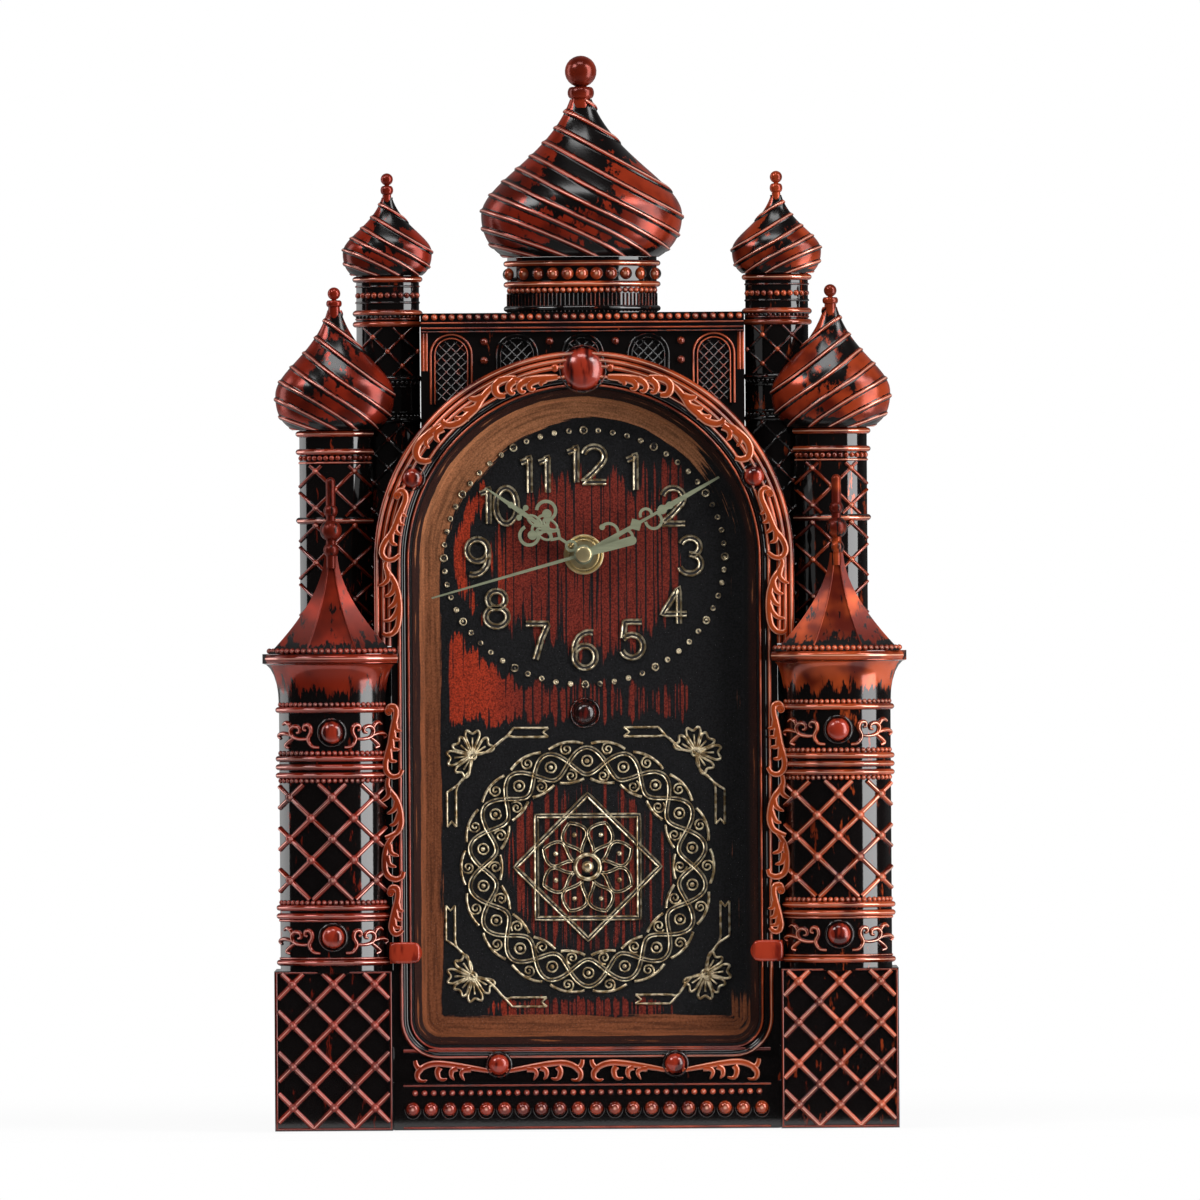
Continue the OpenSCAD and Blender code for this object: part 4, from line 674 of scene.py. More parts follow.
# Tower blocks. The square foot of each tower carries a net of half-round bars with a round stud on every
# crossing, inside a thin rim; moulded in one with the tower, with copper on the bars. A black line marks the
# seam between tower and case.
block_d, block_x, block_w, block_top = 44.0, 81.3, 49.5, 67.0
diamond, diamond_node = 17.253, 27.0
block_copper = coppered("block_copper", (200, 200, 200), bias=0.15, spread=0.4, side_shade=0.8)
net_x, net_h, (stud_x, stud_h) = crossed(
    half=block_w / 2 - 1.5, low=1.2, high=block_top - 1.0, wide=diamond, tall=diamond, node_h=diamond_node,
    steps=9)
block_parts = [
    cord(flat(net_x + turret_x, net_h, block_d), 1.2, 1.4),
    beads(flat(stud_x + turret_x, stud_h, block_d + 0.7), 1.95, 9, 14),
]
rim_h = np.linspace(0.6, block_top - 0.5, 24)
for x in (block_x + 0.8, block_x + block_w - 0.8):
    block_parts.append(cord(flat(x, rim_h, block_d), 0.8, 1.2, 0.5))
rim_x = np.linspace(block_x + 0.4, block_x + block_w - 0.4, 20)
for h in (0.7, block_top - 0.6):
    block_parts.append(cord(flat(rim_x, h, block_d), 0.65, 1.15, 0.55))
band_low = 20.0
for low, high, depth in ((0.3, band_low, plinth_d), (band_low, window_sill, band_d),
                         (window_sill, block_top, frame_d)):
    seam = flat(block_x - 0.15, np.linspace(low, high, 4), depth - 0.3)
    block_parts.append((ridge(seam, 0.3, 0.25, sink=1.0), bare, False))
piece("block_net", other_side(block_parts), block_copper, "lacquer")


# Turrets. Round shafts with copper rings, pearl rows, a net of bars round the middle and two bands of
# scrolls round a red stone, under a flared cup; moulded on the front of each tower.
turret_w, turret_plane, turret_bulge = 44.6, 34.0, 12.0
cup_low, cup_rise, cup_out, cup_wall, rim_top = 179.0, 17.0, 5.9, 0.8, 200.0
scroll_lines = [
    [(-5.3, -6.1), (-8.2, -5.6), (-9.9, -2.6), (-8.6, 0.6), (-9.3, 3.0), (-11.2, 3.2), (-11.7, 1.6),
     (-10.6, 1.0)],
    [(-9.6, -2.4), (-13.0, -2.6), (-16.2, -1.6), (-17.2, 1.0), (-15.8, 2.8), (-13.6, 2.2), (-13.4, 0.5),
     (-14.6, 0.1)],
    [(-16.0, -1.5), (-18.6, -0.4), (-20.8, -0.2), (-22.2, -1.2), (-21.4, -2.4)],
    [(-17.0, 0.6), (-17.4, 3.0), (-19.0, 4.4), (-20.5, 3.6)],
    [(-15.6, -1.8), (-17.6, -3.4), (-19.2, -5.4), (-17.8, -6.4)],
]


def shaft(x, width, plane, bulge):
    """Axis and radius of the arc through a shaft's two edges and its front: half the squared half-width plus
    the squared bulge, over the bulge."""
    radius = (width * width / 4 + bulge * bulge) / (2 * bulge)
    return x, plane + bulge - radius, radius


def on_shaft(column, across, height, lift=0.0):
    """Points and outward directions on a shaft, at a distance from its middle as seen from the front."""
    x, axis, radius = column
    across, height = np.broadcast_arrays(np.asarray(across, float), height)
    turn = np.arcsin(np.clip(across / radius, -1, 1))
    out = flat(np.sin(turn), 0.0, np.cos(turn))
    return out * (radius + lift) + flat(x, height, axis), out


def hoop(column, width, height, half, rise, strength=1.0):
    """A cord laid round a shaft's front from edge to edge."""
    line, out = on_shaft(column, np.linspace(-width / 2, width / 2, 36), height)
    return cord(line, half, rise, strength, out=out, sink=0.4)


def pearls(column, width, height, radius, gilt_and_painted_light=None, gap=1.03):
    """Balls laid round a shaft's front, spaced evenly along its arc."""
    reach = np.arcsin(width / 2 / column[2])
    count = int(2 * reach * column[2] / (2 * radius * gap))
    turn = (np.arange(count) + 0.5) / count * 2 * reach - reach
    return beads(on_shaft(column, column[2] * np.sin(turn), height)[0], radius, gilt_and_painted_light=gilt_and_painted_light)


def net(column, width, low, high, wide, tall, node_h, half, rise, stud, bars=1.0, studs=1.0):
    """A diamond net wrapped on a shaft's front, with balls on its crossings; bars and studs scale their
    copper."""
    x, h, nodes = crossed(width / 2, low, high, wide, tall, node_h, 9)
    line, out = on_shaft(column, x, h)
    balls = beads(on_shaft(column, *nodes, rise * 0.5)[0], stud, 7, 12, glint(7, studs))
    return [cord(line, half, rise, bars, out=out, sink=0.4), balls]


def hollow_shell(front, back):
    """Two sheets joined along their sides into one tube, whose ends are pinched shut midway between them."""
    middle = (front + back) / 2
    pinched = np.concatenate([middle, middle[:, ::-1]], 1)
    return np.concatenate([pinched[:1], np.concatenate([front, back[:, ::-1]], 1), pinched[-1:]])


turret = shaft(turret_x, turret_w, turret_plane, turret_bulge)
_, turret_axis, turret_r = turret
tower_copper = coppered("tower_copper", (240, 240, 110), bias=0.06, spread=0.5, side_shade=0.8)
turret_parts = []
for h, half in ((70.5, 1.38), (72.3, 0.45), (88.2, 0.6), (90.0, 1.38), (93.5, 1.38), (149.0, 1.38),
                (152.5, 1.38), (156.0, 1.38), (176.5, 1.38)):
    turret_parts.append(hoop(turret, turret_w, h, half, half * 1.15, 0.95))
for h, radius in ((95.7, 1.15), (146.8, 1.15), (158.3, 1.15), (178.7, 1.1)):
    turret_parts.append(pearls(turret, turret_w, h, radius))
turret_parts += net(turret, turret_w - 0.6, low=97.0, high=145.4, wide=17.5, tall=17.45, node_h=122.4,
                    half=1.1, rise=1.3, stud=2.0)
taper = 0.6 + 0.4 * np.sin(np.linspace(0, pi, 28))
for middle in (80.6, 166.8):
    for line in scroll_lines:
        x, h = smooth(line, 28).T
        for side in (-1, 1):
            curve, out = on_shaft(turret, x * side, h + middle)
            turret_parts.append(cord(curve, taper, 1.3 * taper, out=out))
piece("turret_work", other_side(turret_parts), tower_copper, "lacquer")

cup_copper = coppered("cup_copper", (330, 330, 45), spread=0.75, coat=0.2, satin=0.05)
turn = np.linspace(-1, 1, 49) * np.arcsin(turret_w / 2 / turret_r)
sweep_angle = np.linspace(0, pi / 2, 18)
flare = np.concatenate([turret_r + cup_out * (1 - np.cos(sweep_angle)), [turret_r + cup_out] * 2])
flare_h = np.concatenate([cup_low + cup_rise * np.sin(sweep_angle), [rim_top - 1.2, rim_top - 0.2]])
reach = (flare + 0.15)[:, None]
tube = hollow_shell(*(flat(turret_x + r * np.sin(turn), flare_h[:, None], turret_axis + r * np.cos(turn))
                      for r in (reach, reach - cup_wall)))
share = np.linspace(0, 1, len(tube))
cup_gilt = np.interp(share, [0, 0.12, 0.3, 0.6, 1], [0.1, 0.3, 0.62, 0.85, 0.95])[:, None]
cup_rim, cup_w = (turret_x, turret_axis, turret_r + cup_out), turret_w * 1.2
cup_parts = [
    (tube, cup_gilt, False),
    hoop(cup_rim, cup_w, 198.0, 1.7, 1.3),
    pearls(cup_rim, cup_w, 201.2, 1.25),
]
piece("turret_cups", other_side(cup_parts), cup_copper, "lacquer")


# Side and rear shafts. Slimmer round shafts behind the turrets carry the small domes; bars, rings and pearls
# are moulded on them, with less copper the further back they stand.
side_x, side_plane, side_top, side_w, side_net_w = 104.4, 18.9, 294.0, 30.0, 29.4
rear_x, rear_plane, rear_top, rear_w, rear_net_w = 82.0, 10.0, 359.0, 26.4, 25.8
side_shaft = shaft(side_x, side_w, side_plane, 8.0)
rear_shaft = shaft(rear_x, rear_w, rear_plane, 7.0)
shaft_parts = []
for low, high, node_h in ((203.0, 254.0, 246.0), (257.6, 279.0, 268.9)):
    shaft_parts += net(side_shaft, side_net_w, low, high, wide=16.0, tall=15.6, node_h=node_h, half=0.85,
                       rise=1.0, stud=1.35, bars=0.6)
for h, half in ((255.8, 1.35), (284.8, 1.35), (292.4, 1.4), (280.2, 0.5)):
    shaft_parts.append(hoop(side_shaft, side_w, h, half, half * 1.1))
shaft_parts.append(pearls(side_shaft, side_w, 282.2, 1.2, 0.85))
for low, high, node_h, half, stud, bars, studs in (
        (206.0, 297.0, 290.0, 0.7, 1.1, 0.3, 0.4), (317.0, 337.0, 327.0, 0.65, 1.15, 0.42, 0.9)):
    shaft_parts += net(rear_shaft, rear_net_w, low, high, wide=12.2, tall=12.2, node_h=node_h, half=half,
                       rise=0.8, stud=stud, bars=bars, studs=studs)
for h, half, strength in ((298.0, 1.0, 0.25), (301.3, 0.5, 0.2), (312.0, 0.5, 0.25), (315.6, 1.2, 0.3),
                          (338.5, 1.35, 0.85), (340.6, 0.5, 0.5), (343.2, 1.35, 0.9), (347.6, 0.5, 0.3),
                          (357.4, 1.4, 1.0), (354.4, 0.5, 0.4)):
    shaft_parts.append(hoop(rear_shaft, rear_w, h, half, half * 1.1, strength))
for h, radius, strength in ((299.6, 1.0, 0.3), (313.8, 1.0, 0.3), (350.6, 1.3, 0.9), (341.6, 0.9, 0.4)):
    shaft_parts.append(pearls(rear_shaft, rear_w, h, radius, strength))
piece("shaft_work", other_side(shaft_parts), tower_copper, "lacquer")


# Drum. A round drum under the middle dome with fine upright flutes, a row of small pearls and a row of large
# ones between rings; a moulding of its own, pegged to the case.
drum_w, flute_half = 63.0, 31.2
drum = shaft(0.0, drum_w, 6.0, 16.0)
drum_r = drum[2]
flute_x = drum_r * np.sin(np.linspace(-1, 1, 41) * np.arcsin(flute_half / drum_r))[:, None]
flute, flute_out = on_shaft(drum, flute_x, np.linspace(343.2, 351.0, 6))
large = on_shaft(drum, (np.arange(11) - 5) * 6.17, 359.3, -0.5)[0]
drum_parts = [
    cord(flute, 0.42, 0.7, 0.38, out=flute_out),
    pearls(drum, drum_w - 0.4, 352.3, 1.3),
    hoop(drum, drum_w, 354.9, 1.35, 1.5),
    hoop(drum, drum_w, 363.7, 1.35, 1.5),
    hoop(drum, drum_w, 344.7, 1.32, 1.4, 0.25),
    beads(large, 2.8, 9, 14),
]
piece("drum_work", drum_parts, tower_copper, "lacquer")


# Domes. Onion domes cast as half shells with raised spiral cords, sprayed black and rubbed with copper so
# that the cords and the swelling flanks shine and the flutes stay streaked; each cord has a painted
# highlight along its upper side and painted shade along its lower side; pegged on the drum and shafts.
dome_copper = coppered("dome_copper", (230, 230, 110), bias=0.07, spread=0.8, coat=0.0, satin=0.1, warm=-0.4,
                       sheen=0.35)
dome_relief, dome_wall, groove_and_shade = 0.62, 3.0, -0.2


def step(value, low, high):
    """Eases from 0 to 1 while the value goes from low to high, as three squares less two cubes."""
    t = np.clip((np.asarray(value) - low) / (high - low), 0, 1)
    return t * t * (3 - 2 * t)


def onion(centre, rows, columns, radius, height, seat, neck, waist, pitch, hand, cord_r, fall, cover,
          hollow):
    """A half dome whose radius follows two Bezier curves up its height and whose depth is flattened. Cords
    start at even steps along one edge; at the share u of the half-width a cord has dropped by fall times
    (0.4 + 0.5 u + 0.1 u squared) times the mean of the half-widths there and at its start. The back is a
    wall width inside the shell; hollow is 1 where it follows the shell and 0 where it is flat."""
    t = np.linspace(0, 1, rows)[:, None]
    curve = np.hstack([(1 - t) ** 3, 3 * t * (1 - t) ** 2, 3 * t**2 * (1 - t), t**3])
    low = curve @ np.array([(seat, 0), (0.93 * radius, 0.06 * height), (radius, 0.16 * height),
                            (radius, waist * height)])
    top = curve @ np.array([(radius, waist * height), (radius, (waist + 0.205) * height),
                            (0.31 * radius, 0.635 * height), (neck, height)])
    r, z = np.concatenate([low[::2], top[1:]]).T
    edge = np.concatenate([[0], np.cumsum(np.hypot(np.diff(r), np.diff(z)))])
    turn = np.linspace(-pi / 2, pi / 2, columns)
    u = np.sin(turn)
    drop = fall * (0.4 + 0.5 * hand * u + 0.1 * u * u)
    start = z[:, None] + drop * r[:, None]
    for _ in range(8):
        start = z[:, None] + drop * (r[:, None] + np.interp(start, z, r)) / 2
    phase = (np.interp(start, z, edge) + np.maximum(start - z[-1], 0)) / pitch
    by_u = np.gradient(phase, axis=1) / np.maximum(np.gradient(u), 1e-4)
    by_z = np.gradient(phase, z, axis=0) - by_u * u * (np.gradient(r, z) / r)[:, None]
    above = (phase - np.round(phase)) / np.hypot(by_u / r[:, None], by_z)
    away = abs(above)
    raised = np.sqrt(np.clip(1 - (away / cord_r) ** 2, 0, 1))
    reach = r[:, None] + 0.95 * cord_r * raised * np.clip(r / (5 * cord_r), 0.3, 1)[:, None]
    bore = np.maximum(r - dome_wall, 0.3 * r)[:, None]
    x0, h0, d0 = centre
    shell = flat(x0 + reach * u, h0 + z[:, None], d0 + dome_relief * reach * np.cos(turn))
    back = flat(x0 + bore * u, h0 + z[:, None], d0 + hollow * dome_relief * bore * np.cos(turn))
    level = (z / height)[:, None]
    flanks = np.maximum(step(-u, 0.3, 0.75) * 0.62, step(u, 0.2, 0.6) * step(-level, -0.7, -0.45) * 0.85)
    belly = 0.55 * np.exp(-(((level - 0.2) / 0.13) ** 2)) * np.ones_like(u)
    flute = (cover + (1 - cover) * np.maximum(flanks, belly)) * step(level, 0.015, 0.09)
    # Painted highlight: gilt rises over one a little above each cord's middle. Painted shade: below the
    # middle the cord is left dark, widening the black line at its foot.
    pale = 0.95 + 0.4 * np.exp(-(((above / cord_r - 0.3) / 0.3) ** 2))
    gilt_and_painted_light = np.where(away < cord_r, pale, np.where(away < 1.5 * cord_r, groove_and_shade, flute))
    gilt_and_painted_light = np.where((above < -0.6 * cord_r) & (away < 1.5 * cord_r), groove_and_shade, gilt_and_painted_light)
    gilt_and_painted_light = np.concatenate([gilt_and_painted_light, np.full_like(gilt_and_painted_light, bare)], 1)
    return hollow_shell(shell, back), np.concatenate([gilt_and_painted_light[:1], gilt_and_painted_light, gilt_and_painted_light[-1:]])


def pointed(grid):
    """A grid whose first and last rows are drawn in to a point."""
    ends = grid.mean(1, keepdims=True) * np.ones_like(grid)
    return np.concatenate([ends[:1], grid, ends[-1:]])


def finial(centre, profile, columns=20):
    """A turned knob: a half-round of radius r at each height of the profile."""
    x0, h0, d0 = centre
    r, z = np.asarray(profile, float).T[..., None]
    turn = np.linspace(-pi / 2, pi / 2, columns)
    return pointed(flat(x0 + r * np.sin(turn), h0 + z, d0 + 0.9 * r * np.cos(turn)))


def knob_profile(neck_r, neck_z, collar_r, collar_z, collar_half, ball_r, ball_z):
    """Neck, rounded collar, narrow gap and ball from below, as radius and height."""
    tilt = np.linspace(-1.2, pi / 2, 12)
    bend = np.linspace(-pi / 2, pi / 2, 8)
    soft = collar_half * 0.6
    collar = np.stack([collar_r - soft + soft * np.cos(bend), collar_z + collar_half * np.sin(bend)], -1)
    ball = np.stack([ball_r * np.cos(tilt) + 1e-3, ball_z + ball_r * np.sin(tilt)], -1)
    return np.vstack([[(neck_r, neck_z)], [(neck_r * 0.9, collar_z - collar_half)], collar,
                      [(ball_r * 0.45, collar_z + collar_half)], ball])


def dome(name, node, centre, knob, **shape):
    """One dome with its knob, standing for its solid."""
    shell, gilt_and_painted_light = onion(centre, **shape)
    parts = [(shell, gilt_and_painted_light, False), (finial(centre, knob), 0.95, False)]
    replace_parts(piece(name, parts, dome_copper, "dome_copper", crease=70), node)


main_knob = knob_profile(neck_r=4.4, neck_z=63.0, collar_r=5.6, collar_z=69.4, collar_half=2.5, ball_r=6.7,
                         ball_z=78.4)
side_knob = knob_profile(neck_r=2.7, neck_z=47.0, collar_r=3.3, collar_z=53.2, collar_half=1.4, ball_r=2.7,
                         ball_z=57.4)
rear_knob = knob_profile(neck_r=2.0, neck_z=31.0, collar_r=2.7, collar_z=36.0, collar_half=1.9, ball_r=2.6,
                         ball_z=40.6)
dome("main_onion", "main_dome", (0.0, 366.3, 6.0), main_knob, rows=130, columns=200, radius=42.4,
     height=66.7, seat=32.3, neck=4.6, waist=0.265, pitch=7.9, hand=1, cord_r=0.95, fall=1.1, cover=0.12,
     hollow=1)
for side, name in ((-1, "left"), (1, "right")):
    dome(name + "_side_onion", name + "_side_dome", (side * side_x, side_top, side_plane), side_knob,
         rows=100, columns=150, radius=25.0, height=50.5, seat=17.2, neck=2.8, waist=0.29, pitch=8.0,
         hand=-side, cord_r=0.8, fall=1.5, cover=0.32, hollow=0)
    dome(name + "_rear_onion", name + "_rear_dome", (side * rear_x, rear_top, rear_plane), rear_knob,
         rows=90, columns=140, radius=18.8, height=33.0, seat=14.6, neck=2.2, waist=0.29, pitch=6.2,
         hand=-side, cord_r=0.75, fall=1.2, cover=0.18, hollow=0)


# Spires. Eight-sided hollow-sided roofs over the cups with a turned rod and ball, cast like the domes and
# brushed downwards, so that dark streaks run to the eaves; a smooth skin lies on each solid's flat facets.
spire_r, spire_tip, spire_h, spire_plane, spire_relief = 26.0, 2.6, 41.0, 36.4, 0.5
spire_copper = coppered("spire_copper", (300, 300, 28), bias=0.6, spread=0.85, deep=0.42, coat=0.0,
                        satin=0.2, warm=-0.05, sheen=0.2)
for node in ("left_spire", "right_spire"):
    dress(node, spire_copper)
corner = np.radians([-157.5, -112.5, -67.5, -22.5])
facet_x = np.concatenate([[-1], np.cos(corner) / np.cos(pi / 8), [1]])
facet_d = np.concatenate([[0], -spire_relief * np.sin(corner) / np.cos(pi / 8), [0]])
t = np.linspace(0, 1, 36)
roof_r = (spire_tip + (spire_r - spire_tip) * (1 - t) ** 1.7 + 0.2)[:, None]
roof = flat(turret_x + roof_r * facet_x, (rim_top + spire_h * t)[:, None], spire_plane + roof_r * facet_d)
roof = pointed(roof)
eave = np.interp(t, [0, 0.04, 0.12, 0.25, 1], [-0.5, -0.4, -0.05, 0.1, 0.15])[:, None]
spire_parts = [(roof, np.concatenate([eave[:1], eave, eave[-1:]]), False)]
for hip in (2, 3):
    spire_parts.append((ridge(roof[3:-4, hip], 0.4, 0.3), 0.7, False))
piece("spire_skins", other_side(spire_parts), spire_copper, "dome_copper", crease=16)


# Dial. A pan of matt charcoal plastic with sloping walls, its border rubbed with brown copper and its ribbed
# ground brushed downwards with brick red; the border's brown is painted lighter towards the top and darker
# on the right as painted light and shade, a thin painted highlight runs round the wall, and a thin painted
# skin lies on the pan's solid.
dial_d, wall_foot, pan_rim_d, skin_t = 21.0, -6.0, 31.0, 0.4
skin_d = dial_d + 0.12
dots_x, dots_h, dots_half, dots_rise = 0.2, 239.8, 59.1, 53.5
star_x, star_h = 0.8, 109.6
dial_ground, maroon = (0.008, 0.008, 0.009, 1), (0.026, 0.008, 0.006, 1)
brick_dark, brick_bright = (0.14, 0.017, 0.01, 1), (0.3, 0.028, 0.009, 1)
brown_shaded, brown_lit = (0.2, 0.062, 0.024, 1), (0.4, 0.16, 0.07, 1)
dial_paint, tree, shader, spot = blank("dial_paint")
hair = stretched(tree, spot, (430, 0, 12))
plank = shade(tree, "TexWave", Vector=hair, Scale=0.2, Distortion=3.0, Detail=2.0).outputs["Fac"]
stroke = noise(tree, hair, 1.0, 3.0, 0.6)
lie = shade(tree, "CombineXYZ", s0=calc(tree, "MULTIPLY", layer(tree, "inset"), 0.8),
            s1=calc(tree, "MULTIPLY", layer(tree, "along"), 0.035)).outputs[0]
sweep = noise(tree, lie, 1.0, 4.0, 0.6)
speck = noise(tree, spot, 1500.0, 2.0)
brushed = moved(tree, layer(tree, "red"), stroke, 2.0)
brushed = calc(tree, "SUBTRACT", brushed, ramp(tree, plank, 0.0, 0.2, 0.36, 0.0))
brushed = ramp(tree, brushed, 0.46, 0.54)
# Painted light: this mask holds the rubbed brown border together with its painted shade on the right and its
# painted highlight line.
rubbed_and_painted_light = ramp(tree, moved(tree, layer(tree, "gilt_and_painted_light"), sweep, 1.7), 0.42, 0.6)
where = shade(tree, "SeparateXYZ", s0=spot).outputs
brick = tint(tree, ramp(tree, where["X"], -0.046, -0.024), brick_bright, brick_dark)
# Painted light: the border's brown is lighter towards the top.
brown = tint(tree, ramp(tree, where["Z"], -0.16, -0.03), brown_shaded, brown_lit)
colour = tint(tree, brushed, dial_ground, brick)
colour = tint(tree, layer(tree, "slope"), colour, maroon)
colour = tint(tree, rubbed_and_painted_light, colour, brown)
swept = ramp(tree, sweep, 0.3, 0.65, 0.55, 1.15)
swept = calc(tree, "MULTIPLY", ramp(tree, speck, 0.25, 0.75, 0.7, 1.3), swept)
grainy = fade(tree, rubbed_and_painted_light, ramp(tree, speck, 0.25, 0.75, 0.4, 1.6), swept)
mottled = shade(tree, "Mix", {"data_type": "RGBA", "blend_type": "MULTIPLY"}, s0=1.0, s6=colour, s7=grainy)
feed(shader, Base_Color=mottled.outputs[2], Roughness=0.6, Specular_IOR_Level=0.14,
     Normal=dented(tree, speck, 0.35, 0.0003))
dress("dial_pan", dial_paint)


def between(value, low, top, fall, end):
    """Eases up from 0 to 1 between low and top, and down again between fall and end."""
    return step(value, low, top) * step(-value, -end, -fall)


wall_share = np.array([0.2, 0.4, 0.6, 0.8, 1.0])
steps = np.concatenate([[0.4, 0.4], wall_foot * wall_share, wall_foot - np.linspace(0.5, 13.5, 15),
                        np.linspace(-21, -72.0, 35)])
wall_d = np.interp(wall_share, [0, 1], [pan_rim_d + 2.25, dial_d + 0.25])
levels = np.concatenate([[pan_rim_d - 1] * 2, wall_d, np.full(50, skin_d)])
loops = np.stack([window_path(grow, depth) for grow, depth in zip(steps, levels)])
rim = loops[0]
middle = np.clip(loops[-1][:, 1], 80, arch_h)
loops = np.concatenate([loops, flat(0 * middle, middle, skin_d)[None]])
loops = np.concatenate([loops[::-1], loops - (0, 0, skin_t)])
x, h = loops[..., 0], loops[..., 1]
front = np.arange(len(x))[:, None] < len(x) / 2
inset = np.concatenate([steps, [-80.0]])
inset = -np.concatenate([inset[::-1], inset])[:, None] * np.ones_like(x)
along = np.cumsum(np.hypot(*(rim - np.roll(rim, 1, 0))[:, :2].T)) * np.ones_like(x)
slope = np.clip((4.4 - inset) / 1.0, 0, 1)

# The border's copper is strongest on the left and at the upper left shoulder, partly from the rubbed paint
# and partly as painted shade on the right; a thin line round the sloping wall is a painted highlight.
band_paint_and_shade = np.clip(0.85 - 0.75 * (x - 10) / 60 + 0.45 * step(60 - h, 0, 8), 0.12, 1.0)
band_paint_and_shade = np.maximum(band_paint_and_shade, step(h, 255, 268) * np.clip(0.8 - (x - 42) / 30, 0, 0.8))
shoulder = np.clip(1 - abs(np.arctan2(h - arch_h, x) - radians(138)) / radians(50), 0, 1)
border = np.clip((14.2 + 5.0 * shoulder - inset) / 3.0, 0, 1) * np.clip((inset - 3.8) / 0.9, 0, 1)
border = np.maximum(border * band_paint_and_shade, 0.42 * np.exp(-(((inset - 2.4) / 0.5) ** 2)))

# Red lies inside the ring of dots, on its left edge, in the band below it, at its upper right, behind the
# star and along the foot; each patch eases in and out over the millimetres given.
ring = np.hypot((x - dots_x) / dots_half, (h - dots_h) / dots_rise)
ring_red = np.clip(2.3 - 2.0 * np.hypot((x - 2.0) / 43.0, (h - 237.0) / 40.0), 0, 0.72)
strip_red = 0.85 * np.exp(-(((ring - 0.88) / 0.06) ** 2)) * step(-x, 36, 44) * between(h, 205, 220, 272, 282)
band_top = 192.0 + np.clip(-x - 32, 0, 24) * 0.95
low_red = step(h, 168.5, 172.5) * step(band_top - h, 0, 8) * np.clip(0.95 - (x + 36) / 75, 0.5, 0.98)
low_red = low_red * step(x + 58.5, 0, 3) * step(52 - x, 0, 12)
upper_red = 0.55 * between(x, 22, 28, 40, 46) * between(h, 258, 264, 276, 284)
star_red = 0.47 * step(40 - np.hypot(x - star_x, h - star_h), 0, 6)
foot_red = 0.68 * between(h, 44, 48, 52, 57) * step(-abs(x + 3), -42, -34)
red_field = np.max([ring_red, strip_red, low_red, upper_red, star_red, foot_red], 0) * front
piece("dial_skin", [(loops, border * front, False)], dial_paint, "dial", crease=40, red=red_field,
      slope=slope, inset=inset, along=along)


# Dial relief. Numerals, minute dots, an eight-point star in a ring of scrolls and four corner bows stand up
# from the dial as thin banks; their edges are foiled in pale gold that also serves as a painted highlight,
# and their tops are dark relief that also stands for painted shade.
relief_d = skin_d
relief_black, gold_deep, gold_pale = (0.016, 0.013, 0.011, 1), (0.3, 0.2, 0.09, 1), (0.98, 0.84, 0.58, 1)
gold_foil, tree, shader, spot = blank("gold_foil")
wear = noise(tree, spot, 420.0, 3.0)
foiled = ramp(tree, moved(tree, layer(tree, "gilt_and_painted_light"), wear, 1.5), 0.42, 0.58)
gold = tint(tree, ramp(tree, wear, 0.38, 0.64), gold_deep, gold_pale)
feed(shader, Base_Color=tint(tree, foiled, relief_black, gold),
     Metallic=calc(tree, "MULTIPLY", foiled, 0.78), Roughness=fade(tree, foiled, 0.5, 0.28),
     Normal=dented(tree, wear, 0.8, 0.0004))
foil_section = np.array([(-1, -1), (-1, 0.35), (-0.84, 1), (-0.5, 0.95), (-0.3, 0.7), (0.3, 0.7),
                         (0.5, 0.95), (0.84, 1), (1, 0.35), (1, -1)], float)
foil_gilt_and_painted_light = np.array([0.25, 0.8, 1.0, 0.9, 0.1, 0.1, 0.9, 1.0, 0.8, 0.25])


def foil(path, half, rise, loop=False):
    """A bank with foiled edges that also carry a painted highlight and a dark top that also stands for
    painted shade, as a part.
    """
    return ridge(path, half, rise, foil_section, loop=loop), foil_gilt_and_painted_light, loop


def arc(x, y, rx, ry, start, end, count=16):
    """Part of an ellipse from one angle to another, in degrees."""
    turn = np.radians(np.linspace(start, end, count))
    return np.stack([x + rx * np.cos(turn), y + ry * np.sin(turn)], -1)


def strokes(*lines):
    """Pen lines of one numeral, in a box one unit high."""
    return [np.asarray(line, float) for line in lines]


def refined(line, count):
    """Points on a line through corners, at even shares of the count of its spans."""
    span = np.linspace(0, len(line) - 1, count)
    return np.stack([np.interp(span, np.arange(len(line)), v) for v in np.transpose(line)], -1)


